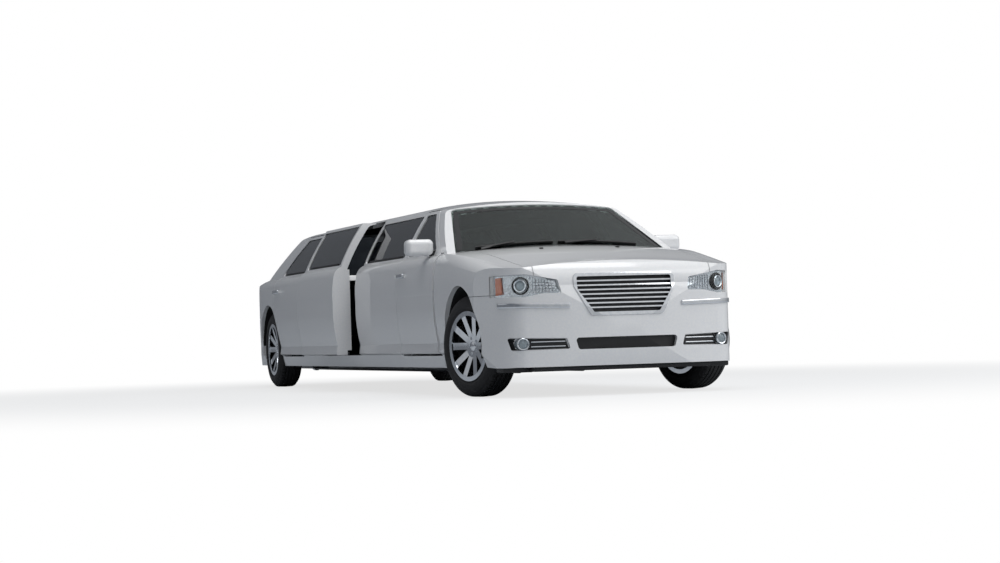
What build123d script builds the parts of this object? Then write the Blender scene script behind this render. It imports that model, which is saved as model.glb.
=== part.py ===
from build123d import *

import math
import os

# Stretch limousine: a four-door saloon lengthened between its doors, with a plug door on its right side.
# Frame, in millimetres: +X forward, +Y to the car's left, +Z up, origin on the ground at mid-length.
# The front wheels stand steered to the left and the plug door stands pushed out and back, as it parks.

os.makedirs("parts", exist_ok=True)

# Overall size
LENGTH = 8600.0
FRONT_OVERHANG = 870.0
REAR_OVERHANG = 1122.0
BODY_HALF = 951.0
MIRROR_HALF = 1082.0
PANEL_GAP = 7.0

NOSE_X = LENGTH / 2
TAIL_X = -LENGTH / 2
FRONT_AXLE_X = NOSE_X - FRONT_OVERHANG
REAR_AXLE_X = TAIL_X + REAR_OVERHANG

# Heights of the side's lines, from the ground
ROCKER_Z = 205.0
SILL_Z = 300.0
SCALLOP_Z = 385.0
WIDEST_Z = 740.0
SHOULDER_Z = 945.0
BELT_Z = 1035.0
RAIL_Z = 1418.0
ROOF_Z = 1490.0

# How far each line of the side lies inside the widest one
ROCKER_INSET = 71.0
SILL_INSET = 46.0
FLARE_INSET = 21.0
FLARE_RISE = 14.0
SCALLOP_INSET = 31.0
SHOULDER_INSET = 11.0
BELT_INSET = 71.0
BELT_LEDGE = 8.0

# Greenhouse sides are one arc from the belt to the roof rail
RAIL_HALF = 655.0
SIDE_BULGE = 14.0
RAIL_ROUND = 70.0

# Wall thicknesses
DOOR_WALL = 115.0
PILLAR_WALL = 55.0
ROOF_WALL = 45.0
PANEL_WALL = 60.0
LID_WALL = 45.0
GLASS_SINK = 7.0
GLASS_WALL = 6.0
FLOOR_TOP_Z = 292.0
FLOOR_WALL = 36.0

# Where the panels meet, along the car
DOOR_FRONT_X = FRONT_AXLE_X - 620.0
B_PILLAR_X = FRONT_AXLE_X - 1718.0
STRETCH = 3556.0
REAR_DOOR_FRONT_X = B_PILLAR_X - STRETCH
REAR_DOOR_BACK_X = REAR_AXLE_X + 278.0
ROOF_SEAM_HALF = 560.0
FIREWALL_X = FRONT_AXLE_X - 540.0
COWL_X = FRONT_AXLE_X - 370.0
CABIN_BACK_X = REAR_AXLE_X + 440.0

# Plug door on the right side: closed place, then how far it stands out and back
PLUG_DOOR_FRONT_X = FRONT_AXLE_X - 3060.0
PLUG_DOOR_LENGTH = 1350.0
PLUG_DOOR_OUT = 160.0
PLUG_DOOR_BACK = 130.0
PLUG_DOOR_LINING = 35.0

# Wheels
TRACK = 1610.0
TYRE_R = 360.0
TYRE_W = 232.0
RIM_R = 247.0
ARCH_R = 425.0
ARCH_CENTRE_Z = 362.0
HUB_BORE_R = 32.0
SHAFT_CLEARANCE = 0.1
STEER_REST_DEG = 16.0
KINGPIN_HALF = 735.0

SEAM = PANEL_GAP / 2

# Floor, rails and trunk
RAIL_Y = 360.0
RAIL_WALL = 60.0
RAIL_END_X = NOSE_X - 230.0
TUNNEL_HALF = 150.0
TUNNEL_TOP = 420.0
TUB_HALF = 560.0
TRUNK_FLOOR_Z = 420.0
TRUNK_BACK_X = TAIL_X + 190.0
BULKHEAD_X = REAR_AXLE_X + 180.0


# Side arc of the greenhouse, as a circle in the YZ plane
def side_circle():
    """Centre and radius of the arc that runs from the belt to the roof rail."""
    belt = Vector(BODY_HALF - BELT_INSET - BELT_LEDGE, BELT_Z)
    rail = Vector(RAIL_HALF, RAIL_Z)
    chord = rail - belt
    radius = (chord.length**2 / 4 + SIDE_BULGE**2) / (2 * SIDE_BULGE)
    outward = Vector(chord.Y, -chord.X).normalized()
    centre = (belt + rail) * 0.5 + outward * (SIDE_BULGE - radius)
    return centre, radius


SIDE_CENTRE, SIDE_R = side_circle()


def side_half(z, inset=0.0):
    """Half width of the greenhouse at height z, to a surface that lies inset inside the glass line."""
    return SIDE_CENTRE.X + math.sqrt((SIDE_R - inset) ** 2 - (z - SIDE_CENTRE.Y) ** 2)


# Prisms from plain outlines
def xz_prism(points, y_low, y_high, radius=0.0):
    """Side-view outline, carried across the car."""
    with BuildPart() as prism:
        with BuildSketch(Plane.XZ.offset(-y_high)) as outline:
            with BuildLine():
                Polyline(*points, close=True)
            make_face()
            if radius:
                fillet(outline.vertices(), radius)
        extrude(amount=y_high - y_low)
    return prism.part


def yz_prism(points, x_low, x_high, radius=0.0):
    """Front-view outline, carried along the car."""
    with BuildPart() as prism:
        with BuildSketch(Plane.YZ.offset(x_low)) as outline:
            with BuildLine():
                Polyline(*points, close=True)
            make_face()
            if radius:
                fillet(outline.vertices(), radius)
        extrude(amount=x_high - x_low)
    return prism.part


def xy_prism(points, z_low, z_high, radius=0.0):
    """Plan outline, carried upwards."""
    with BuildPart() as prism:
        with BuildSketch(Plane.XY.offset(z_low)) as outline:
            with BuildLine():
                Polyline(*points, close=True)
            make_face()
            if radius:
                fillet(outline.vertices(), radius)
        extrude(amount=z_high - z_low)
    return prism.part


def block(x_low, x_high, y_low, y_high, z_low, z_high):
    """Plain box between two corners."""
    with BuildPart() as box:
        centre = ((x_low + x_high) / 2, (y_low + y_high) / 2, (z_low + z_high) / 2)
        with Locations(centre):
            Box(x_high - x_low, y_high - y_low, z_high - z_low)
    return box.part


# Lower body: one closed section per station, lofted at both ends and straight between
def lower_section(x, half, bottom, widest_z, shoulder_z, belt_z, crown_z, belt_inset, step, inset):
    """One cross-section of the body below the glass, drawn inset inside the skin."""
    sill, scallop = (FLARE_INSET + (line - FLARE_INSET) * step for line in (SILL_INSET, SCALLOP_INSET))
    right = [
        (half - ROCKER_INSET - inset, bottom + inset),
        (half - sill - inset, bottom + SILL_Z - ROCKER_Z),
        (half - FLARE_INSET - inset, bottom + SILL_Z - ROCKER_Z + FLARE_RISE),
        (half - scallop - inset, bottom + SCALLOP_Z - ROCKER_Z),
        (half - inset, widest_z),
        (half - SHOULDER_INSET - inset, shoulder_z),
        (half - belt_inset - inset, belt_z - inset),
    ]
    bulges = {3: 12.0, 4: 7.0, 5: 14.0}
    with BuildSketch(Plane.YZ.offset(x)) as section:
        with BuildLine():
            for sign in (1, -1):
                for index in range(len(right) - 1):
                    start, end = Vector(*right[index]), Vector(*right[index + 1])
                    across = Vector(end.Y - start.Y, start.X - end.X).normalized()
                    middle = (start + end) * 0.5 + across * bulges.get(index, 0.0)
                    ends = [(sign * start.X, start.Y), (sign * end.X, end.Y)]
                    if index in bulges:
                        ThreePointArc(ends[0], (sign * middle.X, middle.Y), ends[1])
                    else:
                        Line(*ends)
            Line((-right[0][0], right[0][1]), right[0])
            ThreePointArc(right[-1], (0, crown_z - inset), (-right[-1][0], right[-1][1]))
        make_face()
    return section.sketch


# Columns: x, half width, bottom, widest, shoulder, belt, crown, belt inset, share of the sill step
MID_ROW = (BODY_HALF, ROCKER_Z, WIDEST_Z, SHOULDER_Z, BELT_Z, BELT_Z + 45, BELT_INSET, 1.0)
FRONT_ROWS = [
    (DOOR_FRONT_X, *MID_ROW),
    (FRONT_AXLE_X, BODY_HALF, ROCKER_Z, WIDEST_Z - 8, SHOULDER_Z - 30, BELT_Z - 44, BELT_Z - 2, 88.0, 0.8),
    (NOSE_X - 350, BODY_HALF - 20, ROCKER_Z, WIDEST_Z - 40, SHOULDER_Z - 95,
     BELT_Z - 124, BELT_Z - 82, 118.0, 0.0),
    (NOSE_X + 40, BODY_HALF - 66, ROCKER_Z, WIDEST_Z - 90, SHOULDER_Z - 145,
     BELT_Z - 172, BELT_Z - 128, 150.0, 0.0),
]
REAR_ROWS = [
    (REAR_DOOR_BACK_X, *MID_ROW),
    (REAR_AXLE_X - 330, BODY_HALF - 5, ROCKER_Z, WIDEST_Z, SHOULDER_Z, BELT_Z - 5, BELT_Z + 30, 82.0, 0.8),
    (TAIL_X + 300, BODY_HALF - 26, ROCKER_Z, WIDEST_Z - 10, SHOULDER_Z - 12,
     BELT_Z - 28, BELT_Z + 10, 108.0, 0.0),
    (TAIL_X - 40, BODY_HALF - 62, ROCKER_Z, WIDEST_Z - 30, SHOULDER_Z - 38,
     BELT_Z - 60, BELT_Z - 18, 140.0, 0.0),
]


# Plan of both ends: half width where each round corner starts, and how far back the taper runs
NOSE_HALF = BODY_HALF - 161.0
NOSE_TAPER = 560.0
TAIL_HALF = BODY_HALF - 146.0
TAIL_TAPER = 760.0


def nose_and_tail(inset):
    """What the bumpers' plan and side curves leave: a bowed nose and tail with round corners."""
    nose, tail = NOSE_X - inset, TAIL_X + inset
    nose_wide, tail_wide, side, corner = NOSE_HALF - inset, TAIL_HALF - inset, BODY_HALF + 10, 210.0
    nose_side, tail_side = nose - NOSE_TAPER, tail + TAIL_TAPER
    with BuildPart() as limits:
        with BuildSketch(Plane.XY):
            with BuildLine():
                ThreePointArc((nose - 125, nose_wide), (nose, 0), (nose - 125, -nose_wide))
                Line((nose - 125, -nose_wide), (nose_side, -side))
                Line((nose_side, -side), (tail_side, -side))
                Line((tail_side, -side), (tail + 95, -tail_wide))
                ThreePointArc((tail + 95, -tail_wide), (tail, 0), (tail + 95, tail_wide))
                Line((tail + 95, tail_wide), (tail_side, side))
                Line((tail_side, side), (nose_side, side))
                Line((nose_side, side), (nose - 125, nose_wide))
            corners = make_face().vertices().sort_by(Axis.Y)
            fillet(corners[2:4] + corners[-4:-2], corner)
        extrude(amount=ROOF_Z)
        with BuildSketch(Plane.XZ.offset(-BODY_HALF - 20)):
            with BuildLine():
                ThreePointArc((nose - 78, 120), (nose - 2, 430), (nose - 60, 760))
                ThreePointArc((nose - 60, 760), (nose - 78, 842), (nose - 125, 905))
                Line((nose - 125, 905), (nose - 500, ROOF_Z))
                Line((nose - 500, ROOF_Z), (tail + 300, ROOF_Z))
                Line((tail + 300, ROOF_Z), (tail + 45, 1000))
                ThreePointArc((tail + 45, 1000), (tail + 4, 560), (tail + 70, 120))
                Line((tail + 70, 120), (nose - 78, 120))
            make_face()
        extrude(amount=2 * (BODY_HALF + 20), mode=Mode.INTERSECT)
    return limits.part


def lower_body(inset):
    """Everything below the glass as one solid, inset inside the skin."""
    with BuildPart() as lower:
        for rows in (FRONT_ROWS, REAR_ROWS):
            loft(sections=[lower_section(*row, inset) for row in rows])
        extrude(lower_section(REAR_DOOR_BACK_X, *MID_ROW, inset), amount=DOOR_FRONT_X - REAR_DOOR_BACK_X)
        add(nose_and_tail(inset), mode=Mode.INTERSECT)
    return lower.part


def nose_body(inset):
    """The same solid ahead of the doors only."""
    with BuildPart() as front:
        loft(sections=[lower_section(*row, inset) for row in FRONT_ROWS])
        add(nose_and_tail(inset), mode=Mode.INTERSECT)
    return front.part


lower_skin = lower_body(0.0)
nose_skin = nose_body(0.0)
lower_core = lower_body(PANEL_WALL)
lower_shell = lower_skin - lower_core


# Greenhouse: the roof's rail slides down the same side arc towards both ends
def roof_section(x, rail_z, crown_z, side_inset, top_inset, base_z):
    """One cross-section of the cabin above the belt."""
    rail = rail_z - top_inset
    middle = (base_z + rail) / 2
    with BuildSketch(Plane.YZ.offset(x)) as section:
        with BuildLine():
            for sign in (1, -1):
                heights = (base_z, middle, rail)
                ThreePointArc(*[(sign * side_half(z, side_inset), z) for z in heights])
            edge = side_half(rail, side_inset)
            ThreePointArc((-edge, rail), (0, crown_z - top_inset), (edge, rail))
            Line((-side_half(base_z, side_inset), base_z), (side_half(base_z, side_inset), base_z))
        top = make_face().vertices().group_by(Axis.Y)[-1]
        fillet(top, RAIL_ROUND - top_inset / 2)
    return section.sketch


# Columns: x, rail height, crown height
ROOF_FRONT_ROWS = [
    (DOOR_FRONT_X - 1310, RAIL_Z, ROOF_Z),
    (DOOR_FRONT_X - 610, RAIL_Z - 30, ROOF_Z - 48),
    (DOOR_FRONT_X + 140, RAIL_Z - 133, ROOF_Z - 160),
]
ROOF_REAR_ROWS = [
    (REAR_DOOR_BACK_X + 600, RAIL_Z, ROOF_Z),
    (REAR_DOOR_BACK_X, RAIL_Z - 23, ROOF_Z - 40),
    (REAR_DOOR_BACK_X - 800, RAIL_Z - 148, ROOF_Z - 180),
]


def cabin_top(side_inset, top_inset, base_z):
    """The cabin above the belt as one solid, before the end windows cut it."""
    mid_start, mid_end = ROOF_REAR_ROWS[0], ROOF_FRONT_ROWS[0]
    with BuildPart() as top:
        for rows in (ROOF_FRONT_ROWS, ROOF_REAR_ROWS):
            loft(sections=[roof_section(*row, side_inset, top_inset, base_z) for row in rows])
        extrude(roof_section(*mid_start, side_inset, top_inset, base_z), amount=mid_end[0] - mid_start[0])
    return top.part


# End windows: each lies on a wide arc that slopes from the cowl or deck up to the roof
WINDSHIELD_BASE = (COWL_X - 30, BELT_Z + 15)
WINDSHIELD_TOP = (FRONT_AXLE_X - 1190, ROOF_Z - 68)
BACKLIGHT_BASE = (REAR_AXLE_X - 350, BELT_Z + 17)
BACKLIGHT_TOP = (REAR_AXLE_X + 328, ROOF_Z - 66)
END_GLASS_R = 5800.0
END_GLASS_REACH = 1000.0


def end_slab(base, top, outer, inner):
    """A curved slab along an end window, between two depths below its surface."""
    slope = Vector(top[0] - base[0], 0, top[1] - base[1])
    start = Vector(base[0], 0, base[1]) - slope * 0.3
    reach = END_GLASS_REACH
    sag = END_GLASS_R - math.sqrt(END_GLASS_R**2 - reach**2)
    facing = -1 if slope.X < 0 else 1
    with BuildPart() as slab:
        with BuildSketch(Plane(start, x_dir=(0, facing, 0), z_dir=slope.normalized())):
            with BuildLine():
                ThreePointArc((-reach, -sag - outer), (0, -outer), (reach, -sag - outer))
                Line((reach, -sag - outer), (reach, -sag - inner))
                ThreePointArc((reach, -sag - inner), (0, -inner), (-reach, -sag - inner))
                Line((-reach, -sag - inner), (-reach, -sag - outer))
            make_face()
        extrude(amount=slope.length * 1.6)
    return slab.part


def end_outline(base, top, base_half, top_half, margin):
    """The glass edge of an end window, as a prism square to its slope."""
    slope = Vector(top[0] - base[0], 0, top[1] - base[1])
    run = slope.length
    facing = -1 if slope.X < 0 else 1
    foot = Vector(base[0], 0, base[1])
    plane = Plane(foot, x_dir=slope.normalized(), z_dir=Vector(0, facing, 0).cross(slope))
    with BuildPart() as prism:
        with BuildSketch(plane) as outline:
            with BuildLine():
                Polyline(
                    (margin - 20, base_half - margin),
                    (run - margin, top_half - margin),
                    (run - margin, margin - top_half),
                    (margin - 20, margin - base_half),
                    close=True,
                )
            make_face()
            fillet(outline.vertices(), 50)
        extrude(amount=160, both=True)
    return prism.part


WINDSHIELD = (WINDSHIELD_BASE, WINDSHIELD_TOP)
BACKLIGHT = (BACKLIGHT_BASE, BACKLIGHT_TOP)
WINDSHIELD_HALVES = (838.0, 640.0)
BACKLIGHT_HALVES = (800.0, 632.0)


def glass_recess(window, halves):
    """Step round an end window that its glass lies in."""
    with BuildPart() as recess:
        add(end_slab(*window, -20, GLASS_SINK + GLASS_WALL))
        add(end_outline(*window, *halves, 0), mode=Mode.INTERSECT)
    return recess.part


cabin_room = cabin_top(PILLAR_WALL, ROOF_WALL, BELT_Z - 30)
with BuildPart() as cabin_outer:
    add(cabin_top(0, 0, BELT_Z - 20))
    for window, halves in ((WINDSHIELD, WINDSHIELD_HALVES), (BACKLIGHT, BACKLIGHT_HALVES)):
        add(end_slab(*window, -700, 0), mode=Mode.SUBTRACT)
        add(glass_recess(window, halves), mode=Mode.SUBTRACT)

# Openings of the swinging doors: a hinge axis, a back edge that turns about it, and a plain outline
HINGE_Y = BODY_HALF - 46.0
HINGE_REACH = 100.0
DOOR_ROOF_ROOM = 25.0
HINGE_PIN_R = 8.0
HINGE_HEIGHTS = (620.0, 860.0)
HINGE_ARM = 40.0
DOOR_TOP_Z = RAIL_Z - 21.0
FRONT_HINGE_X = DOOR_FRONT_X - HINGE_REACH
REAR_HINGE_X = REAR_DOOR_FRONT_X - HINGE_REACH
FRONT_DOOR_SWING_R = FRONT_HINGE_X - B_PILLAR_X
REAR_DOOR_SWING_R = REAR_HINGE_X - REAR_DOOR_BACK_X - 4.0

# Columns: swing radius, height, for the back edge of each door
FRONT_DOOR_BACK = [
    (FRONT_DOOR_SWING_R, SILL_Z - 60),
    (FRONT_DOOR_SWING_R, BELT_Z),
    (FRONT_DOOR_SWING_R + 36, DOOR_TOP_Z),
]
REAR_DOOR_BACK = [
    (REAR_DOOR_SWING_R, SILL_Z - 60),
    (REAR_DOOR_SWING_R, BELT_Z + 20),
    (REAR_DOOR_SWING_R - 345, DOOR_TOP_Z),
]
FRONT_DOOR_OUTLINE = [
    (FRONT_HINGE_X + HINGE_REACH + 30, SILL_Z),
    (FRONT_HINGE_X + HINGE_REACH + 30, BELT_Z + 5),
    (DOOR_FRONT_X - 92, BELT_Z + 5),
    (DOOR_FRONT_X - 770, DOOR_TOP_Z),
    (B_PILLAR_X - 200, DOOR_TOP_Z),
    (B_PILLAR_X - 200, SILL_Z),
]
REAR_DOOR_OUTLINE = [
    (REAR_HINGE_X + HINGE_REACH + 30, SILL_Z),
    (REAR_HINGE_X + HINGE_REACH + 30, DOOR_TOP_Z),
    (REAR_DOOR_BACK_X - 200, DOOR_TOP_Z),
    (REAR_DOOR_BACK_X - 200, SILL_Z),
]
ARCH_DOOR_R = ARCH_R + 45.0
WIDE = BODY_HALF + 60.0


def door_swing(hinge_x, back, grow, side):
    """What a door's back edge leaves free as it turns, and ahead of the hinge only the room round it."""
    across = sorted((side * 500.0, side * WIDE))
    frame_span = sorted((side * 500.0, side * HINGE_Y))
    rim = [(hinge_x + radius + grow, z) for radius, z in back]
    rim = [(rim[0][0], rim[0][1] - 60)] + rim + [(rim[-1][0], rim[-1][1] + 60)]
    with BuildPart() as room:
        add(block(hinge_x - 1500, hinge_x, *across, 0, ROOF_Z))
        with Locations((hinge_x, side * HINGE_Y, ROOF_Z / 2)):
            Cylinder(HINGE_REACH + grow, ROOF_Z)
        add(block(hinge_x - 1, hinge_x + HINGE_REACH + grow, *frame_span, BELT_Z, ROOF_Z))
    with BuildPart() as swing:
        with BuildSketch(Plane.XZ.offset(-side * HINGE_Y)):
            with BuildLine():
                Polyline((hinge_x, rim[0][1]), *rim, (hinge_x, rim[-1][1]), close=True)
            make_face()
        revolve(axis=Axis((hinge_x, side * HINGE_Y, 0), (0, 0, 1)))
        add(room.part, mode=Mode.INTERSECT)
    return swing.part


def door_region(hinge_x, outline, back, grow, side):
    """Space a hinged door fills, on side +1 or -1, grown by a gap for the opening round it."""
    across = sorted((side * 500.0, side * WIDE))
    arch = Location((REAR_AXLE_X, side * (BODY_HALF - DOOR_WALL / 2), ARCH_CENTRE_Z), (90, 0, 0))
    wide_end, narrow_end = ARCH_DOOR_R + 20 - grow, ARCH_DOOR_R - grow
    ends = (narrow_end, wide_end) if side < 0 else (wide_end, narrow_end)
    with BuildPart() as region:
        for rise in sorted({0.0, grow, -grow}):
            add(xz_prism([(x, z + rise) for x, z in outline], *across))
        add(door_swing(hinge_x, back, grow, side), mode=Mode.INTERSECT)
        with Locations(arch):
            Cone(ends[1], ends[0], 2 * DOOR_WALL, mode=Mode.SUBTRACT)
    return region.part


# Side windows: columns are the glass outline in side view and the pieces it belongs to
WINDOW_LOW = BELT_Z + 17.0
WINDOW_TOP = DOOR_TOP_Z - 25.0
FRAME = 45.0
PLUG_DOOR_BACK_X = PLUG_DOOR_FRONT_X - PLUG_DOOR_LENGTH


def pane(x_low, x_high):
    """Plain upright window between two places along the car."""
    return [(x_low, WINDOW_LOW), (x_high, WINDOW_LOW), (x_high, WINDOW_TOP), (x_low, WINDOW_TOP)]


FRONT_PANE = [
    (B_PILLAR_X + FRAME, WINDOW_LOW),
    (DOOR_FRONT_X - 205, WINDOW_LOW),
    (DOOR_FRONT_X - 800, WINDOW_TOP),
    (B_PILLAR_X + FRAME, WINDOW_TOP),
]
REAR_PANE = [
    (REAR_DOOR_FRONT_X - FRAME, WINDOW_LOW),
    (REAR_DOOR_FRONT_X - FRAME, WINDOW_TOP),
    (REAR_DOOR_BACK_X + 470, WINDOW_TOP),
    (REAR_DOOR_BACK_X + 95, WINDOW_LOW + 40),
    (REAR_DOOR_BACK_X + 95, WINDOW_LOW),
]
FORE_PANE = pane(PLUG_DOOR_FRONT_X + FRAME, B_PILLAR_X - FRAME)
PLUG_PANE = pane(PLUG_DOOR_BACK_X + FRAME, PLUG_DOOR_FRONT_X - FRAME)
AFT_PANE = pane(REAR_DOOR_FRONT_X + FRAME, PLUG_DOOR_BACK_X - FRAME)
PANE_ROUND = 22.0


def side_span(side):
    """Reach across the car that holds one side's walls."""
    return sorted((side * (ROOF_SEAM_HALF + 2), side * WIDE))


def window_hole(outline, side):
    """Cutter for one side window."""
    return xz_prism(outline, *side_span(side), PANE_ROUND)


with BuildPart() as glass_band:
    with BuildSketch(Plane.YZ.offset(REAR_DOOR_BACK_X - 300)):
        with BuildLine():
            heights = (BELT_Z - 10, (BELT_Z + RAIL_Z) / 2, RAIL_Z)
            outer = [(side_half(z, GLASS_SINK), z) for z in heights]
            inner = [(side_half(z, GLASS_SINK + GLASS_WALL), z) for z in heights]
            ThreePointArc(*outer)
            Line(outer[-1], inner[-1])
            ThreePointArc(*reversed(inner))
            Line(inner[0], outer[0])
        make_face()
        mirror(about=Plane.YZ)
    extrude(amount=DOOR_FRONT_X - REAR_DOOR_BACK_X + 600)


def side_glass(outline, side):
    """One side window, seated in its hole."""
    with BuildPart() as glass:
        add(glass_band.part)
        add(window_hole(outline, side), mode=Mode.INTERSECT)
    return glass.part


# Hinge arms reach round the inside of the door to its axis; the pocket lets the door turn about them
def hinge_arms(hinge_x, side):
    """Arms and pins of one door, which belong to the body."""
    inner = BODY_HALF - DOOR_WALL
    with BuildPart() as arms:
        for z in HINGE_HEIGHTS:
            low, high = z - HINGE_ARM / 2, z + HINGE_ARM / 2
            reach = sorted((side * (inner - 22), side * HINGE_Y))
            along = sorted((side * (inner - 22), side * (inner - 7)))
            root = sorted((side * (inner - 22), side * (inner + 5)))
            add(block(hinge_x - 11, hinge_x + 11, *reach, low, high))
            add(block(hinge_x - 11, hinge_x + HINGE_REACH + 50, *along, low, high))
            add(block(hinge_x + HINGE_REACH + 20, hinge_x + HINGE_REACH + 50, *root, low, high))
            with Locations((hinge_x, side * HINGE_Y, z)):
                Cylinder(HINGE_PIN_R + 6, HINGE_ARM)
                Cylinder(HINGE_PIN_R, HINGE_ARM + 60)
    return arms.part


def hinge_pockets(hinge_x, side):
    """Room for those arms inside the door, with bores for the pins."""
    inner = BODY_HALF - DOOR_WALL
    reach = sorted((side * (inner - 30), side * (HINGE_Y + 30)))
    with BuildPart() as pockets:
        for z in HINGE_HEIGHTS:
            heights = (z - HINGE_ARM / 2 - 6, z + HINGE_ARM / 2 + 6)
            add(block(hinge_x - 20, hinge_x + HINGE_REACH + 20, *reach, *heights))
            with Locations((hinge_x, side * HINGE_Y, z)):
                Cylinder(HINGE_PIN_R + SHAFT_CLEARANCE, HINGE_ARM + 64)
    return pockets.part


# Right side wall: as thick as the doors along the cabin, a thinner shell behind it
INNER = BODY_HALF - DOOR_WALL
FENDER_BACK_X = DOOR_FRONT_X - HINGE_REACH / 2
RIGHT = (-WIDE, -ROOF_SEAM_HALF)
with BuildPart() as hinge_pillar:
    add(lower_core)
    add(block(FENDER_BACK_X - 5, FIREWALL_X, -WIDE, -INNER, 0, BELT_Z - 40), mode=Mode.INTERSECT)
with BuildPart() as rear_room:
    add(lower_core)
    add(block(TAIL_X, CABIN_BACK_X, *RIGHT, 0, ROOF_Z), mode=Mode.INTERSECT)
with BuildPart() as right_cabin:
    add(cabin_outer.part)
    add(block(TAIL_X, NOSE_X, *RIGHT, 0, ROOF_Z + 50), mode=Mode.INTERSECT)
    add(cabin_room, mode=Mode.SUBTRACT)
with BuildPart() as right_lower:
    add(lower_skin)
    add(block(TAIL_X - 100, FENDER_BACK_X, *RIGHT, 0, ROOF_Z), mode=Mode.INTERSECT)
    add(rear_room.part, mode=Mode.SUBTRACT)
    add(block(CABIN_BACK_X, FIREWALL_X + 100, -INNER, 0, 0, ROOF_Z), mode=Mode.SUBTRACT)
    add(block(TAIL_X - 100, CABIN_BACK_X + 1, -700, 0, 0, BELT_Z - 20), mode=Mode.SUBTRACT)
    add(hinge_pillar.part)
    with Locations(Location((REAR_AXLE_X, 0, ARCH_CENTRE_Z), (90, 0, 0))):
        Cylinder(ARCH_R, 2 * WIDE, mode=Mode.SUBTRACT)
with BuildPart() as right_side:
    add(right_lower.part)
    add(right_cabin.part)
full_side = right_side.part

# Lids: each turns about pins in the panels beside it, and its edges turn about them too
HOOD_PIN = (FRONT_AXLE_X - 345.0, BELT_Z - 50.0)
HOOD_BACK_R = 97.0
HOOD_FRONT_R = 1048.0
HOOD_HALVES = (735.0, 672.0)
LID_PIN = (REAR_AXLE_X - 432.0, BELT_Z - 50.0)
LID_FRONT_R = 83.0
LID_HALF = 690.0
LID_LOW_Z = 705.0
PIN_R = 8.0
PIN_LENGTH = 110.0


def ring(pin, radius, half):
    """Solid disc about a lid's pins, across the car."""
    with BuildPart() as disc:
        with Locations(Location((pin[0], 0, pin[1]), (90, 0, 0))):
            Cylinder(radius, 2 * half)
    return disc.part


def hood_region(grow):
    """Plan of the hood between its two turning edges."""
    back, front = (half + grow for half in HOOD_HALVES)
    far = NOSE_X + 60
    behind = (HOOD_PIN[0] - 300, HOOD_PIN[0] + 1, -back, back, HOOD_PIN[1] - 8, ROOF_Z)
    with BuildPart() as heel:
        add(ring(HOOD_PIN, HOOD_BACK_R + grow, back))
        add(block(*behind), mode=Mode.INTERSECT)
    with BuildPart() as region:
        add(xy_prism([(HOOD_PIN[0], back), (far, front), (far, -front), (HOOD_PIN[0], -back)], 650, ROOF_Z))
        add(heel.part)
        add(ring(HOOD_PIN, HOOD_FRONT_R + grow, WIDE), mode=Mode.INTERSECT)
    return region.part


def lid_region(grow):
    """Plan and back view of the trunk lid behind its turning edge."""
    half = LID_HALF + grow
    ahead = (LID_PIN[0] - 1, LID_PIN[0] + 200, -half, half, LID_PIN[1] - 8, ROOF_Z)
    with BuildPart() as heel:
        add(ring(LID_PIN, LID_FRONT_R + grow, half))
        add(block(*ahead), mode=Mode.INTERSECT)
    with BuildPart() as region:
        add(block(TAIL_X - 60, LID_PIN[0], -half, half, LID_LOW_Z - grow, ROOF_Z))
        add(heel.part)
    return region.part


def lid_lugs(pin, half):
    """Lugs under a lid, bored for those pins."""
    with BuildPart() as lugs:
        for side in (1, -1):
            with Locations((pin[0], side * (half - 62), pin[1] + 8)):
                Box(44, 40, 56)
    return lugs.part


# Lamp cut-outs in the front and back corners
HEADLAMP_LOW_Z = 682.0
HEADLAMP_INNER = 455.0


def headlamp_region():
    """Front view of both headlamps, carried back into the corners."""
    low, inner = HEADLAMP_LOW_Z, HEADLAMP_INNER
    corners = [(inner, low + 24), (inner + 22, low + 114), (700, low + 156), (WIDE, low + 148)]
    corners += [(WIDE, low + 8), (700, low), (590, low + 22)]
    with BuildPart() as region:
        for side in (1, -1):
            add(yz_prism([(side * y, z) for y, z in corners], NOSE_X - 345, NOSE_X + 60, 12))
    return region.part


def tail_lamp_region():
    """Back view of both tail lamps, carried forward into the corners."""
    inner = LID_HALF + PANEL_GAP
    corners = [(inner, 690), (WIDE, 690), (WIDE, 955), (inner, 955)]
    with BuildPart() as region:
        for side in (1, -1):
            add(yz_prism([(side * y, z) for y, z in corners], TAIL_X - 60, TAIL_X + 330))
    return region.part


# Grille, lower grille and fog lamps, in front view
GRILLE_LOW_Z = 545.0
GRILLE_TOP_Z = 838.0
GRILLE_HALVES = (262.0, 366.0)
GRILLE_FRAME = 24.0
GRILLE_BARS = 7
GRILLE_BAR = 10.0
FOG_LAMP = (722.0, 364.0)
FOG_LAMP_R = 42.0
FOG_POCKET = [(405.0, 324.0), (790.0, 320.0), (812.0, 408.0), (430.0, 398.0)]
FOG_POCKET_DEPTH = 24.0


def grille_outline(inset):
    """Front view of the grille opening, wider at its top."""
    low, top = GRILLE_LOW_Z + inset, GRILLE_TOP_Z - inset
    bottom_half, top_half = (half - inset for half in GRILLE_HALVES)
    corners = [(bottom_half, low), (top_half, top - 90), (top_half, top)]
    corners += [(-y, z) for y, z in reversed(corners)]
    return yz_prism(corners, NOSE_X - 300, NOSE_X + 60, 38 - inset)


def lower_grille_outline(inset):
    """Front view of the air intake under the bumper bar."""
    low, top = 318 + inset, 398 - inset
    corners = [(350 - inset, low), (372 - inset, top), (inset - 372, top), (inset - 350, low)]
    return yz_prism(corners, NOSE_X - 300, NOSE_X + 60, 20)


def fog_lamp_bores(radius):
    """Round holes for the fog lamps."""
    with BuildPart() as bores:
        for side in (1, -1):
            with Locations(Location((NOSE_X - 120, side * FOG_LAMP[0], FOG_LAMP[1]), (0, 90, 0))):
                Cylinder(radius, 300)
    return bores.part


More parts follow.
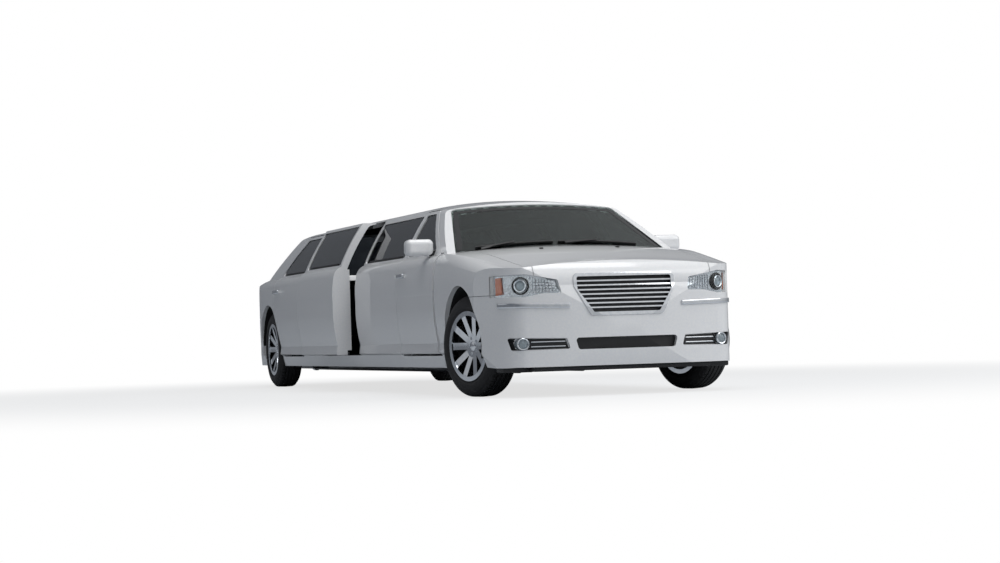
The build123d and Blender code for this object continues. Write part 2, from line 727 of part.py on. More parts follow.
def fog_pockets():
    """Shallow recesses that the fog lamps stand in."""
    with BuildPart() as pockets:
        for side in (1, -1):
            add(yz_prism([(side * y, z) for y, z in FOG_POCKET], NOSE_X - 400, NOSE_X + 60, 14))
        add(nose_body(FOG_POCKET_DEPTH), mode=Mode.SUBTRACT)
    return pockets.part


# Bumper seams, and the half widths that the front and rear bumper are open for behind their faces
BUMPER_REACH = (NOSE_HALF - 130, TAIL_HALF - 130)
BUMPER_TOP_Z = 700.0
FRONT_BUMPER_X = FRONT_AXLE_X + 150.0
REAR_BUMPER_X = REAR_AXLE_X - 380.0
REAR_BUMPER_TOP_Z = 660.0


def front_bumper_region(grow):
    """Everything ahead of the front arch below the lamps, and the nose between the lamps."""
    with BuildPart() as region:
        add(block(FRONT_BUMPER_X - grow, NOSE_X + 60, -WIDE, WIDE, 0, BUMPER_TOP_Z + grow))
        half = HOOD_HALVES[0] - 95 + grow
        add(block(NOSE_X - 260 - grow, NOSE_X + 60, -half, half, 0, ROOF_Z))
    return region.part


def rear_bumper_region(grow):
    """Everything behind the rear arch below the tail lamps, and the sill of the trunk."""
    with BuildPart() as region:
        add(block(TAIL_X - 60, REAR_BUMPER_X + grow, -WIDE, WIDE, 0, REAR_BUMPER_TOP_Z + grow))
        half = LID_HALF + PANEL_GAP - SEAM + grow
        add(block(TAIL_X - 60, TAIL_X + 200, -half, half, 0, LID_LOW_Z - PANEL_GAP))
    return region.part


def arch_cutter(axle_x):
    """Wheel arch through both sides."""
    with BuildPart() as arch:
        with Locations(Location((axle_x, 0, ARCH_CENTRE_Z), (90, 0, 0))):
            Cylinder(ARCH_R, 2 * WIDE)
    return arch.part


plug_hole = block(
    PLUG_DOOR_BACK_X - PANEL_GAP, PLUG_DOOR_FRONT_X + PANEL_GAP, -WIDE, -500, SILL_Z, DOOR_TOP_Z + PANEL_GAP
)
plug_space = block(PLUG_DOOR_BACK_X, PLUG_DOOR_FRONT_X, -WIDE, -500, SILL_Z + PANEL_GAP, DOOR_TOP_Z)

DOORS = {
    "front": (FRONT_HINGE_X, FRONT_DOOR_OUTLINE, FRONT_DOOR_BACK, FRONT_PANE),
    "rear": (REAR_HINGE_X, REAR_DOOR_OUTLINE, REAR_DOOR_BACK, REAR_PANE),
}

# Plug door, closed place first; it then stands out and back on two arms
PLUG_MOVE = Location((-PLUG_DOOR_BACK, -PLUG_DOOR_OUT, 0))
ARM_X = PLUG_DOOR_FRONT_X - 0.55 * PLUG_DOOR_LENGTH
ARM_WIDTH = 60.0

with BuildPart() as plug_door_arms:
    inner = BODY_HALF - DOOR_WALL
    add(block(ARM_X, ARM_X + ARM_WIDTH, -inner - PLUG_DOOR_OUT - 30, -inner - 8, SILL_Z, SILL_Z + 28))
    rail_y = side_half(DOOR_TOP_Z, PILLAR_WALL)
    top = DOOR_TOP_Z + PANEL_GAP
    add(block(ARM_X, ARM_X + ARM_WIDTH, -rail_y - PLUG_DOOR_OUT - 22, -rail_y - 6, top - 26, top))

with BuildPart() as plug_door:
    add(full_side)
    add(plug_space, mode=Mode.INTERSECT)
    lining = (PLUG_DOOR_BACK_X + PLUG_DOOR_BACK + 20, PLUG_DOOR_FRONT_X, -INNER, PLUG_DOOR_LINING - INNER)
    add(block(*lining, SILL_Z + 45, BELT_Z - 20))
    add(window_hole(PLUG_PANE, -1), mode=Mode.SUBTRACT)
    add(plug_door_arms.part.moved(PLUG_MOVE.inverse()), mode=Mode.SUBTRACT)

# Handles: a bar on two posts, part of each door
HANDLE_Z = 902.0
HANDLE_LENGTH = 200.0


def handle(x, side):
    """Pull handle that stands off the door skin."""
    skin = side * (BODY_HALF - 8)
    with BuildPart() as grip:
        with Locations((x, skin + side * 30, HANDLE_Z)):
            Box(HANDLE_LENGTH, 14, 30)
        fillet(grip.edges().filter_by(Axis.Y), 12)
        for end in (-1, 1):
            with Locations((x + end * (HANDLE_LENGTH / 2 - 25), skin + side * 11, HANDLE_Z)):
                Box(32, 30, 24)
    return grip.part


# Body panels of the right side; the left ones are their mirror images
panels = {}


def both_hands(name, right_part):
    """Keep a right-hand piece and its left-hand mirror image."""
    panels[f"{name}_right"] = right_part
    panels[f"{name}_left"] = mirror(right_part, about=Plane.XZ, mode=Mode.PRIVATE)


with BuildPart() as frame:
    add(full_side)
    for hinge_x, outline, back, window in DOORS.values():
        add(door_region(hinge_x, outline, back, PANEL_GAP, -1), mode=Mode.SUBTRACT)
    for outline in (FORE_PANE, AFT_PANE):
        add(window_hole(outline, -1), mode=Mode.SUBTRACT)
    add(lid_region(PANEL_GAP), mode=Mode.SUBTRACT)
    add(rear_bumper_region(SEAM), mode=Mode.SUBTRACT)
    add(tail_lamp_region(), mode=Mode.SUBTRACT)
    for hinge_x, outline, back, window in DOORS.values():
        add(hinge_arms(hinge_x, -1))
    with Locations(Location((LID_PIN[0], 20 - LID_HALF, LID_PIN[1]), (90, 0, 0))):
        Cylinder(PIN_R, PIN_LENGTH)
# The sill under the doors is a panel of its own, and the pillars, rail and rear quarter stand on it
SILL_TOP_Z = SILL_Z + PANEL_GAP / 2
with BuildPart() as sill:
    add(frame.part)
    add(block(TAIL_X, NOSE_X, -WIDE, 0, 0, SILL_TOP_Z), mode=Mode.INTERSECT)
panels["sill_left"] = mirror(sill.part, about=Plane.XZ, mode=Mode.PRIVATE)
with BuildPart() as sill_right:
    add(sill.part)
    add(plug_hole, mode=Mode.SUBTRACT)
panels["sill_right"] = sill_right.part
with BuildPart() as pillars:
    add(frame.part)
    add(block(TAIL_X, NOSE_X, -WIDE, 0, 0, SILL_TOP_Z), mode=Mode.SUBTRACT)
with BuildPart() as frame_left:
    add(pillars.part)
    add(window_hole(PLUG_PANE, -1), mode=Mode.SUBTRACT)
panels["side_frame_left"] = mirror(frame_left.part, about=Plane.XZ, mode=Mode.PRIVATE)
with BuildPart() as frame_right:
    add(pillars.part)
    add(plug_hole, mode=Mode.SUBTRACT)
panels["side_frame_right"] = frame_right.part

for name, (hinge_x, outline, back, window) in DOORS.items():
    with BuildPart() as door:
        add(full_side)
        add(door_region(hinge_x, outline, back, 0, -1), mode=Mode.INTERSECT)
        add(block(TAIL_X, NOSE_X, -WIDE, WIDE, SILL_Z, SILL_Z + PANEL_GAP), mode=Mode.SUBTRACT)
        add(block(TAIL_X, NOSE_X, -ROOF_SEAM_HALF - DOOR_ROOF_ROOM, 0, 0, ROOF_Z), mode=Mode.SUBTRACT)
        add(window_hole(window, -1), mode=Mode.SUBTRACT)
        add(hinge_pockets(hinge_x, -1), mode=Mode.SUBTRACT)
        reach = FRONT_DOOR_SWING_R if name == "front" else REAR_DOOR_SWING_R
        add(handle(hinge_x - reach + 190, -1))
    both_hands(f"door_{name}", door.part)
    both_hands(f"door_glass_{name}", side_glass(window, -1))

with BuildPart() as fender:
    add(lower_shell)
    add(block(FENDER_BACK_X, NOSE_X + 60, -WIDE, 90 - HOOD_HALVES[0], 0, ROOF_Z), mode=Mode.INTERSECT)
    add(door_region(FRONT_HINGE_X, FRONT_DOOR_OUTLINE, FRONT_DOOR_BACK, PANEL_GAP, -1), mode=Mode.SUBTRACT)
    add(hood_region(PANEL_GAP), mode=Mode.SUBTRACT)
    add(front_bumper_region(SEAM), mode=Mode.SUBTRACT)
    add(headlamp_region(), mode=Mode.SUBTRACT)
    add(arch_cutter(FRONT_AXLE_X), mode=Mode.SUBTRACT)
    add(full_side, mode=Mode.SUBTRACT)
    add(block(FENDER_BACK_X - 10, NOSE_X, -INNER, 0, 0, SILL_Z + 100), mode=Mode.SUBTRACT)
    add(block(COWL_X - 400, HOOD_PIN[0], -HOOD_HALVES[0] - SEAM, 0, 0, ROOF_Z), mode=Mode.SUBTRACT)
    with Locations(Location((HOOD_PIN[0], 20 - HOOD_HALVES[0], HOOD_PIN[1]), (90, 0, 0))):
        Cylinder(PIN_R, PIN_LENGTH)
both_hands("fender", fender.part)

with BuildPart() as roof:
    add(cabin_outer.part)
    add(cabin_room, mode=Mode.SUBTRACT)
    middle = (TAIL_X, NOSE_X, -ROOF_SEAM_HALF, ROOF_SEAM_HALF, BELT_Z + 200, ROOF_Z + 50)
    add(block(*middle), mode=Mode.INTERSECT)
panels["roof"] = roof.part

with BuildPart() as hood:
    add(nose_skin)
    add(hood_region(0), mode=Mode.INTERSECT)
    add(nose_skin.moved(Location((0, 0, -LID_WALL))), mode=Mode.SUBTRACT)
    add(lid_lugs(HOOD_PIN, HOOD_HALVES[0]))
    with Locations(Location((HOOD_PIN[0], 0, HOOD_PIN[1]), (90, 0, 0))):
        Cylinder(PIN_R + SHAFT_CLEARANCE, 2 * HOOD_HALVES[0], mode=Mode.SUBTRACT)
panels["hood"] = hood.part

with BuildPart() as trunk_lid:
    add(lower_skin)
    add(lid_region(0), mode=Mode.INTERSECT)
    add(lower_skin.moved(Location((LID_WALL, 0, -LID_WALL))), mode=Mode.SUBTRACT)
    add(lid_lugs(LID_PIN, LID_HALF))
    with Locations(Location((LID_PIN[0], 0, LID_PIN[1]), (90, 0, 0))):
        Cylinder(PIN_R + SHAFT_CLEARANCE, 2 * LID_HALF, mode=Mode.SUBTRACT)
panels["trunk_lid"] = trunk_lid.part

with BuildPart() as cowl:
    half = HOOD_HALVES[0] + SEAM
    add(nose_skin)
    add(block(FIREWALL_X - 20, HOOD_PIN[0], -half, half, BELT_Z - 120, ROOF_Z), mode=Mode.INTERSECT)
    add(nose_skin.moved(Location((0, 0, -LID_WALL))), mode=Mode.SUBTRACT)
    add(ring(HOOD_PIN, HOOD_BACK_R + PANEL_GAP, half), mode=Mode.SUBTRACT)
    add(full_side, mode=Mode.SUBTRACT)
    add(mirror(full_side, about=Plane.XZ, mode=Mode.PRIVATE), mode=Mode.SUBTRACT)
    add(end_slab(*WINDSHIELD, -200, GLASS_SINK + GLASS_WALL + 0.6), mode=Mode.SUBTRACT)
panels["cowl"] = cowl.part

with BuildPart() as front_bumper:
    add(lower_shell)
    add(front_bumper_region(0), mode=Mode.INTERSECT)
    add(hood_region(PANEL_GAP), mode=Mode.SUBTRACT)
    add(headlamp_region(), mode=Mode.SUBTRACT)
    add(arch_cutter(FRONT_AXLE_X), mode=Mode.SUBTRACT)
    add(block(0, NOSE_X - 160, -BUMPER_REACH[0], BUMPER_REACH[0], 0, ROOF_Z), mode=Mode.SUBTRACT)
    for side in (1, -1):
        bracket = sorted((side * RAIL_Y, side * (RAIL_Y + RAIL_WALL)))
        add(block(RAIL_END_X, NOSE_X - 70, *bracket, 440, 520))
    add(grille_outline(0), mode=Mode.SUBTRACT)
    add(lower_grille_outline(0), mode=Mode.SUBTRACT)
    add(fog_lamp_bores(FOG_LAMP_R + 0.2), mode=Mode.SUBTRACT)
    add(fog_pockets(), mode=Mode.SUBTRACT)
panels["front_bumper"] = front_bumper.part

with BuildPart() as rear_bumper:
    add(lower_shell)
    add(rear_bumper_region(0), mode=Mode.INTERSECT)
    add(tail_lamp_region(), mode=Mode.SUBTRACT)
    add(arch_cutter(REAR_AXLE_X), mode=Mode.SUBTRACT)
    add(block(TAIL_X + 150, 0, -BUMPER_REACH[1], BUMPER_REACH[1], 0, ROOF_Z), mode=Mode.SUBTRACT)
    for side in (1, -1):
        bracket = sorted((side * RAIL_Y, side * (RAIL_Y + RAIL_WALL)))
        add(block(TAIL_X + 40, TRUNK_BACK_X, *bracket, TRUNK_FLOOR_Z - 10, TRUNK_FLOOR_Z + 60))
panels["rear_bumper"] = rear_bumper.part


# Glass
for name, window, halves in (
    ("windshield", WINDSHIELD, WINDSHIELD_HALVES),
    ("rear_window", BACKLIGHT, BACKLIGHT_HALVES),
):
    with BuildPart() as pane_part:
        add(end_slab(*window, GLASS_SINK, GLASS_SINK + GLASS_WALL))
        add(end_outline(*window, *halves, 3), mode=Mode.INTERSECT)
        add(lower_skin, mode=Mode.SUBTRACT)
    panels[name] = pane_part.part
with BuildPart() as fixed_glass:
    for outline, side in ((FORE_PANE, 1), (PLUG_PANE, 1), (AFT_PANE, 1), (FORE_PANE, -1), (AFT_PANE, -1)):
        add(side_glass(outline, side))
panels["fixed_glass"] = fixed_glass.part
panels["plug_door"] = plug_door.part.moved(PLUG_MOVE)
panels["plug_door_glass"] = side_glass(PLUG_PANE, -1).moved(PLUG_MOVE)
panels["plug_door_arms"] = plug_door_arms.part

# Lamps: a clear cover flush with the skin and a housing behind it
COVER_WALL = 6.0
lamp_cover = nose_skin - nose_body(COVER_WALL)
lamp_bowl = nose_body(34.0) - nose_body(PANEL_WALL)
for name, source in (("headlamp_covers", lamp_cover), ("headlamps", lamp_bowl)):
    with BuildPart() as lamp:
        add(source)
        add(headlamp_region(), mode=Mode.INTERSECT)
        add(hood_region(PANEL_GAP), mode=Mode.SUBTRACT)
    panels[name] = lamp.part
with BuildPart() as tail_lamps:
    add(lower_shell)
    add(tail_lamp_region(), mode=Mode.INTERSECT)
    add(lid_region(PANEL_GAP), mode=Mode.SUBTRACT)
panels["tail_lamps"] = tail_lamps.part

# Grille: a plated frame proud of the skin, thin bars across it and a dark mesh behind
grille_back = nose_body(30.0)
pitch = (GRILLE_TOP_Z - GRILLE_LOW_Z - 2 * GRILLE_FRAME) / (GRILLE_BARS + 1)
with BuildPart() as slots:
    for index in range(GRILLE_BARS):
        z = GRILLE_LOW_Z + GRILLE_FRAME + (index + 1) * pitch
        with Locations((NOSE_X - 100, 0, z)):
            Box(500, 1000, GRILLE_BAR)
with BuildPart() as bars:
    add(nose_body(4.0))
    add(grille_back, mode=Mode.SUBTRACT)
    add(grille_outline(GRILLE_FRAME - 4), mode=Mode.INTERSECT)
    add(slots.part, mode=Mode.INTERSECT)
with BuildPart() as grille:
    add(nose_body(-6.0))
    add(grille_back, mode=Mode.SUBTRACT)
    add(grille_outline(0.5), mode=Mode.INTERSECT)
    add(grille_outline(GRILLE_FRAME), mode=Mode.SUBTRACT)
    add(bars.part)
    add(hood_region(PANEL_GAP), mode=Mode.SUBTRACT)
panels["grille"] = grille.part

with BuildPart() as both_openings:
    add(grille_outline(0.5))
    add(lower_grille_outline(0.5))
with BuildPart() as grille_mesh:
    add(lamp_bowl)
    add(both_openings.part, mode=Mode.INTERSECT)
    add(hood_region(PANEL_GAP), mode=Mode.SUBTRACT)
panels["grille_mesh"] = grille_mesh.part

with BuildPart() as fog_lamps:
    add(lower_shell)
    add(fog_lamp_bores(FOG_LAMP_R), mode=Mode.INTERSECT)
panels["fog_lamps"] = fog_lamps.part

# Mirrors: a rounded shell on a foot that is shaped to the door
MIRROR_Z = 1096.0
MIRROR_X = DOOR_FRONT_X - 305.0
with BuildPart() as mirror_right:
    with Locations((MIRROR_X, 105 - MIRROR_HALF, MIRROR_Z)):
        Box(120, 210, 124)
    fillet(mirror_right.edges(), 38)
    with Locations((MIRROR_X + 5, 220 - MIRROR_HALF, MIRROR_Z - 44)):
        Box(70, 110, 46)
    add(panels["door_front_right"], mode=Mode.SUBTRACT)
    add(block(0, NOSE_X, -side_half(WINDOW_LOW, GLASS_SINK - 2), 0, 0, ROOF_Z), mode=Mode.SUBTRACT)
both_hands("mirror", mirror_right.part)

# Wheels, drawn at the origin with +Y outwards
BEAD_R = 229.0
RIM_HALF = 105.0
SPOKES = 10
LUGS = 5
DISC_R = 165.0
with BuildPart() as tyre:
    with BuildSketch(Plane.XY) as tyre_section:
        half = TYRE_W / 2
        with BuildLine():
            Line((BEAD_R, 92), (BEAD_R, -92))
            Line((BEAD_R, -92), (BEAD_R + 22, -98))
            ThreePointArc((BEAD_R + 22, -98), (292, -half), (TYRE_R - 28, 20 - half))
            ThreePointArc((TYRE_R - 28, 20 - half), (TYRE_R - 10, 32 - half), (TYRE_R - 3, 48 - half))
            Line((TYRE_R - 3, 48 - half), (TYRE_R, 0))
            Line((TYRE_R, 0), (TYRE_R - 3, half - 48))
            ThreePointArc((TYRE_R - 3, half - 48), (TYRE_R - 10, half - 32), (TYRE_R - 28, half - 20))
            ThreePointArc((TYRE_R - 28, half - 20), (292, half), (BEAD_R + 22, 98))
            Line((BEAD_R + 22, 98), (BEAD_R, 92))
        make_face()
    revolve(axis=Axis.Y)

with BuildPart() as spokes:
    with BuildSketch(Plane.XZ):
        Circle(78)
        with PolarLocations(0, SPOKES):
            Polygon((40, 24), (40, -24), (BEAD_R - 8, -25), (BEAD_R - 8, 25), align=None)
    extrude(amount=-120)
    with BuildSketch(Plane.XY):
        with BuildLine():
            Polyline((0, 26), (80, 30), (BEAD_R, 62), (BEAD_R, 96), (80, 66), (0, 60), close=True)
        make_face()
    revolve(axis=Axis.Y, mode=Mode.INTERSECT)

with BuildPart() as rim:
    with BuildSketch(Plane.XY):
        with BuildLine():
            Polyline(
                (BEAD_R - 0.3, -93), (RIM_R, -98), (RIM_R, -RIM_HALF), (BEAD_R - 12, -RIM_HALF),
                (BEAD_R - 14, RIM_HALF), (RIM_R, RIM_HALF), (RIM_R, 98), (BEAD_R - 0.3, 93), close=True,
            )
        make_face()
    revolve(axis=Axis.Y)
    add(spokes.part)
    with Locations(Location((0, -2, 0), (90, 0, 0))):
        Cylinder(62, 74)
    with Locations(Location((0, -26, 0), (90, 0, 0))):
        Cylinder(DISC_R, 22)
    with BuildSketch(Plane.XZ.offset(-66)):
        with PolarLocations(57, LUGS):
            RegularPolygon(12, 6)
    extrude(amount=22)
    with Locations(Location((0, -30, 0), (90, 0, 0))):
        Cylinder(HUB_BORE_R, 150, mode=Mode.SUBTRACT)

# Carriers: spindle, upright and brake caliper, drawn the same way
PIN_DROP = KINGPIN_HALF - TRACK / 2
KINGPIN_R = 14.0
KINGPIN_HALF_HEIGHT = 150.0
with BuildPart() as carrier:
    with Locations((0, PIN_DROP, 0)):
        Box(80, 40, 250)
    with Locations((120, -29, 0)):
        Box(180, 76, 110)
    with Locations(Location((0, -26, 0), (90, 0, 0))):
        Cylinder(DISC_R + 6, 34, mode=Mode.SUBTRACT)
    with Locations(Location((0, -14, 0), (90, 0, 0))):
        Cylinder(70, 60, mode=Mode.SUBTRACT)
    with Locations(Location((0, -30, 0), (90, 0, 0))):
        Cylinder(HUB_BORE_R - SHAFT_CLEARANCE, 140)
    with Locations(Location((0, -20, 0), (90, 0, 0))):
        Cylinder(208, 200, mode=Mode.INTERSECT)

WHEEL_PLACES = {
    "front_left": Location((FRONT_AXLE_X, TRACK / 2, TYRE_R)),
    "front_right": Location((FRONT_AXLE_X, -TRACK / 2, TYRE_R), (0, 0, 180)),
    "rear_left": Location((REAR_AXLE_X, TRACK / 2, TYRE_R)),
    "rear_right": Location((REAR_AXLE_X, -TRACK / 2, TYRE_R), (0, 0, 180)),
}
for place, spot in WHEEL_PLACES.items():
    if place.startswith("front"):
        side = 1 if place.endswith("left") else -1
        pivot = Location((FRONT_AXLE_X, side * KINGPIN_HALF, 0))
        spot = pivot * Location((0, 0, 0), (0, 0, STEER_REST_DEG)) * pivot.inverse() * spot
        with BuildPart() as knuckle:
            add(carrier.part)
            with Locations((0, PIN_DROP, 0)):
                Cylinder(KINGPIN_R, 2 * KINGPIN_HALF_HEIGHT + 60)
        panels[f"knuckle_{place[6:]}"] = knuckle.part.moved(spot)
    panels[f"tyre_{place}"] = tyre.part.moved(spot)
    panels[f"rim_{place}"] = rim.part.moved(spot)

# Floor: pan and tunnel, firewall, engine rails, rear wheelhouses, shelf and trunk floor
with BuildPart() as whole_floor:
    add(block(CABIN_BACK_X, FIREWALL_X, -INNER, INNER, FLOOR_TOP_Z - FLOOR_WALL, FLOOR_TOP_Z))
    add(block(CABIN_BACK_X, FIREWALL_X, -TUNNEL_HALF, TUNNEL_HALF, FLOOR_TOP_Z - FLOOR_WALL, TUNNEL_TOP))
    add(block(FIREWALL_X - 30, FIREWALL_X, -INNER, INNER, FLOOR_TOP_Z - FLOOR_WALL, BELT_Z - 80))
    for side in (1, -1):
        rail = sorted((side * RAIL_Y, side * (RAIL_Y + RAIL_WALL)))
        add(block(FIREWALL_X - 30, RAIL_END_X, *rail, 380, 560))
        wall = sorted((side * (TUB_HALF - 30), side * TUB_HALF))
        add(block(TRUNK_BACK_X, CABIN_BACK_X + 30, *wall, FLOOR_TOP_Z - FLOOR_WALL, BELT_Z - 70))
        step = sorted((side * (TUB_HALF - 30), side * INNER))
        add(block(CABIN_BACK_X, CABIN_BACK_X + 30, *step, FLOOR_TOP_Z - FLOOR_WALL, BELT_Z - 70))
    add(block(TRUNK_BACK_X, BULKHEAD_X + 30, -TUB_HALF, TUB_HALF, TRUNK_FLOOR_Z, TRUNK_FLOOR_Z + 25))
    add(block(BULKHEAD_X, CABIN_BACK_X + 30, -TUB_HALF, TUB_HALF, FLOOR_TOP_Z - FLOOR_WALL, FLOOR_TOP_Z))
    add(block(BULKHEAD_X, BULKHEAD_X + 30, -TUB_HALF, TUB_HALF, FLOOR_TOP_Z - FLOOR_WALL, BELT_Z - 70))
    add(block(BULKHEAD_X, CABIN_BACK_X + 30, -TUNNEL_HALF, TUNNEL_HALF, FLOOR_TOP_Z - FLOOR_WALL, TUNNEL_TOP))
    shelf = (BACKLIGHT_BASE[0] + 30, BULKHEAD_X + 30, -TUB_HALF - 130, TUB_HALF + 130)
    add(block(*shelf, BELT_Z - 70, BELT_Z - 50))
    tunnel = (BULKHEAD_X - 10, FIREWALL_X + 10, 30 - TUNNEL_HALF, TUNNEL_HALF - 30, 0, TUNNEL_TOP - 30)
    add(block(*tunnel), mode=Mode.SUBTRACT)
    with Locations(Location((REAR_AXLE_X, 0, TYRE_R), (90, 0, 0))):
        Cylinder(50, 2 * TUB_HALF, mode=Mode.SUBTRACT)
    heel_room = (LID_PIN[0] - 30, BACKLIGHT_BASE[0] + 25, -TUB_HALF, TUB_HALF, LID_PIN[1] - 105, BELT_Z - 70)
    add(block(*heel_room), mode=Mode.SUBTRACT)
with BuildPart() as floor_pan:
    add(whole_floor.part)
    add(block(CABIN_BACK_X - 10, NOSE_X, -WIDE, WIDE, 0, ROOF_Z), mode=Mode.INTERSECT)
panels["floor_pan"] = floor_pan.part
with BuildPart() as trunk_tub:
    add(whole_floor.part)
    add(block(TAIL_X, CABIN_BACK_X - 10, -WIDE, WIDE, 0, ROOF_Z), mode=Mode.INTERSECT)
panels["trunk_tub"] = trunk_tub.part

# Engine and running gear under the floor
with BuildPart() as engine:
    add(block(FIREWALL_X + 90, FRONT_AXLE_X + 330, -300, 300, 330, 780))
    add(block(FIREWALL_X - 600, FIREWALL_X + 91, -105, 105, 230, TUNNEL_TOP - 45))
    add(block(FRONT_AXLE_X + 60, FRONT_AXLE_X + 160, -RAIL_Y, RAIL_Y, 430, 500))
panels["engine"] = engine.part

with BuildPart() as driveline:
    shaft_length = FIREWALL_X - 600 - REAR_AXLE_X - 100
    with Locations(Location((REAR_AXLE_X + 100 + shaft_length / 2, 0, TYRE_R - 30), (0, 90, 0))):
        Cylinder(36, shaft_length)
    with Locations((REAR_AXLE_X + 30, 0, TYRE_R - 30)):
        Box(240, 200, 150)
    with Locations(Location((REAR_AXLE_X, 0, TYRE_R), (90, 0, 0))):
        Cylinder(20, TRACK - 2 * 110)
panels["driveline"] = driveline.part

ARM_SPREAD = 28.0
with BuildPart() as front_suspension:
    low, high = TYRE_R - KINGPIN_HALF_HEIGHT - 27, TYRE_R + KINGPIN_HALF_HEIGHT + 3
    back, front = FRONT_AXLE_X - ARM_SPREAD, FRONT_AXLE_X + ARM_SPREAD
    add(block(back - 20, front + 20, -RAIL_Y - 60, RAIL_Y + 60, low, low + 40))
    for side in (1, -1):
        post = sorted((side * RAIL_Y, side * (RAIL_Y + RAIL_WALL)))
        add(block(back, front, *post, low, 380))
        arm_end = KINGPIN_HALF + KINGPIN_R + 1
        add(block(back, front, *sorted((side * RAIL_Y, side * arm_end)), low, low + 24))
        upper = sorted((side * (RAIL_Y + RAIL_WALL), side * arm_end))
        add(block(back, front, *upper, high, high + 24))
        with Locations((FRONT_AXLE_X, side * 590, (low + 780) / 2)):
            Cylinder(48, 780 - low)
        with Locations((FRONT_AXLE_X, side * KINGPIN_HALF, TYRE_R)):
            Cylinder(KINGPIN_R + SHAFT_CLEARANCE, 600, mode=Mode.SUBTRACT)
panels["front_suspension"] = front_suspension.part

with BuildPart() as rear_suspension:
    back, front = REAR_AXLE_X - ARM_SPREAD, REAR_AXLE_X + ARM_SPREAD
    add(block(back, front, -KINGPIN_HALF - 15, KINGPIN_HALF + 15, 212, 250))
    for place in ("rear_left", "rear_right"):
        add(carrier.part.moved(WHEEL_PLACES[place]))
    for side in (1, -1):
        add(block(back, front, *sorted((side * 400, side * 450)), 212, TRUNK_FLOOR_Z))
        with Locations((REAR_AXLE_X, side * 625, 390)):
            Cylinder(42, 300)
    with Locations(Location((REAR_AXLE_X, 0, TYRE_R), (90, 0, 0))):
        Cylinder(26, TRACK - 2 * 100, mode=Mode.SUBTRACT)
panels["rear_suspension"] = rear_suspension.part

# Exhaust and tank, hung from the floor
PIPE_Y = 250.0
PIPE_Z = 180.0
with BuildPart() as exhaust:
    pipe_start, pipe_end = FIREWALL_X - 300, TAIL_X + 20
    for side in (1, -1):
        with Locations(Location(((pipe_start + pipe_end) / 2, side * PIPE_Y, PIPE_Z - 10), (0, 90, 0))):
            Cylinder(28, pipe_start - pipe_end)
        with Locations((TAIL_X + 480, side * (PIPE_Y + 40), PIPE_Z + 40)):
            Box(520, 300, 120)
        hanger = sorted((side * (PIPE_Y - 12), side * (PIPE_Y + 12)))
        for x in (pipe_start - 300, 0, CABIN_BACK_X + 500):
            add(block(x - 20, x + 20, *hanger, PIPE_Z, FLOOR_TOP_Z - FLOOR_WALL))
        add(block(TAIL_X + 460, TAIL_X + 500, *hanger, PIPE_Z, TRUNK_FLOOR_Z))
panels["exhaust"] = exhaust.part
panels["fuel_tank"] = block(CABIN_BACK_X + 60, CABIN_BACK_X + 660, -205, 205, 150, FLOOR_TOP_Z - FLOOR_WALL)

# Cabin: dashboard, steering wheel, seats, partition, side bench and bar
DASH_X = FIREWALL_X - 30.0
DASH_HALF = 770.0
panels["dashboard"] = xz_prism(
    [(DASH_X, 640), (DASH_X, 940), (DASH_X - 150, 975), (DASH_X - 300, 925), (DASH_X - 330, 820),
     (DASH_X - 260, 760), (DASH_X - 220, 640)],
    -DASH_HALF, DASH_HALF, 20,
)
DRIVER_Y = 390.0
wheel_plane = Plane((DASH_X - 460, DRIVER_Y, 905), x_dir=(0, 1, 0), z_dir=(-0.9, 0, 0.43))
with BuildPart() as steering_wheel:
    with Locations(wheel_plane.location):
        Torus(185, 15)
        Box(372, 46, 18)
        Cylinder(62, 40)
        with Locations((0, 0, -110)):
            Cylinder(24, 220)
    add(panels["dashboard"], mode=Mode.SUBTRACT)
panels["steering_wheel"] = steering_wheel.part.solids().sort_by(Axis.X)[0]

SEAT_HALF = 232.0
SEAT_X = B_PILLAR_X + 110.0
seat_side = [
    (SEAT_X + 620, FLOOR_TOP_Z), (SEAT_X + 620, 480), (SEAT_X + 560, 545), (SEAT_X + 190, 515),
    (SEAT_X + 20, 1160), (SEAT_X - 80, 1150), (SEAT_X + 50, 470), (SEAT_X + 60, FLOOR_TOP_Z),
]
with BuildPart() as front_seats:
    for side in (1, -1):
        add(xz_prism(seat_side, side * DRIVER_Y - SEAT_HALF, side * DRIVER_Y + SEAT_HALF, 24))
panels["front_seats"] = front_seats.part

BENCH_OUTER = INNER - 61.0
REAR_SEAT_X = BULKHEAD_X + 30.0
bench_section = [
    (390, FLOOR_TOP_Z), (390, 400), (370, 470), (640, 450), (690, 930), (BENCH_OUTER, 930),
    (BENCH_OUTER, FLOOR_TOP_Z),
]
rear_seat_side = [
    (REAR_SEAT_X + 760, TUNNEL_TOP), (REAR_SEAT_X + 780, 480), (REAR_SEAT_X + 240, 450),
    (REAR_SEAT_X + 130, 960), (REAR_SEAT_X, 960), (REAR_SEAT_X, TUNNEL_TOP),
]
with BuildPart() as bench_seat:
    add(yz_prism(bench_section, REAR_SEAT_X + 900, B_PILLAR_X - 260, 20))
    add(xz_prism(rear_seat_side, 40 - TUB_HALF, TUB_HALF - 40, 20))
panels["bench_seat"] = bench_seat.part

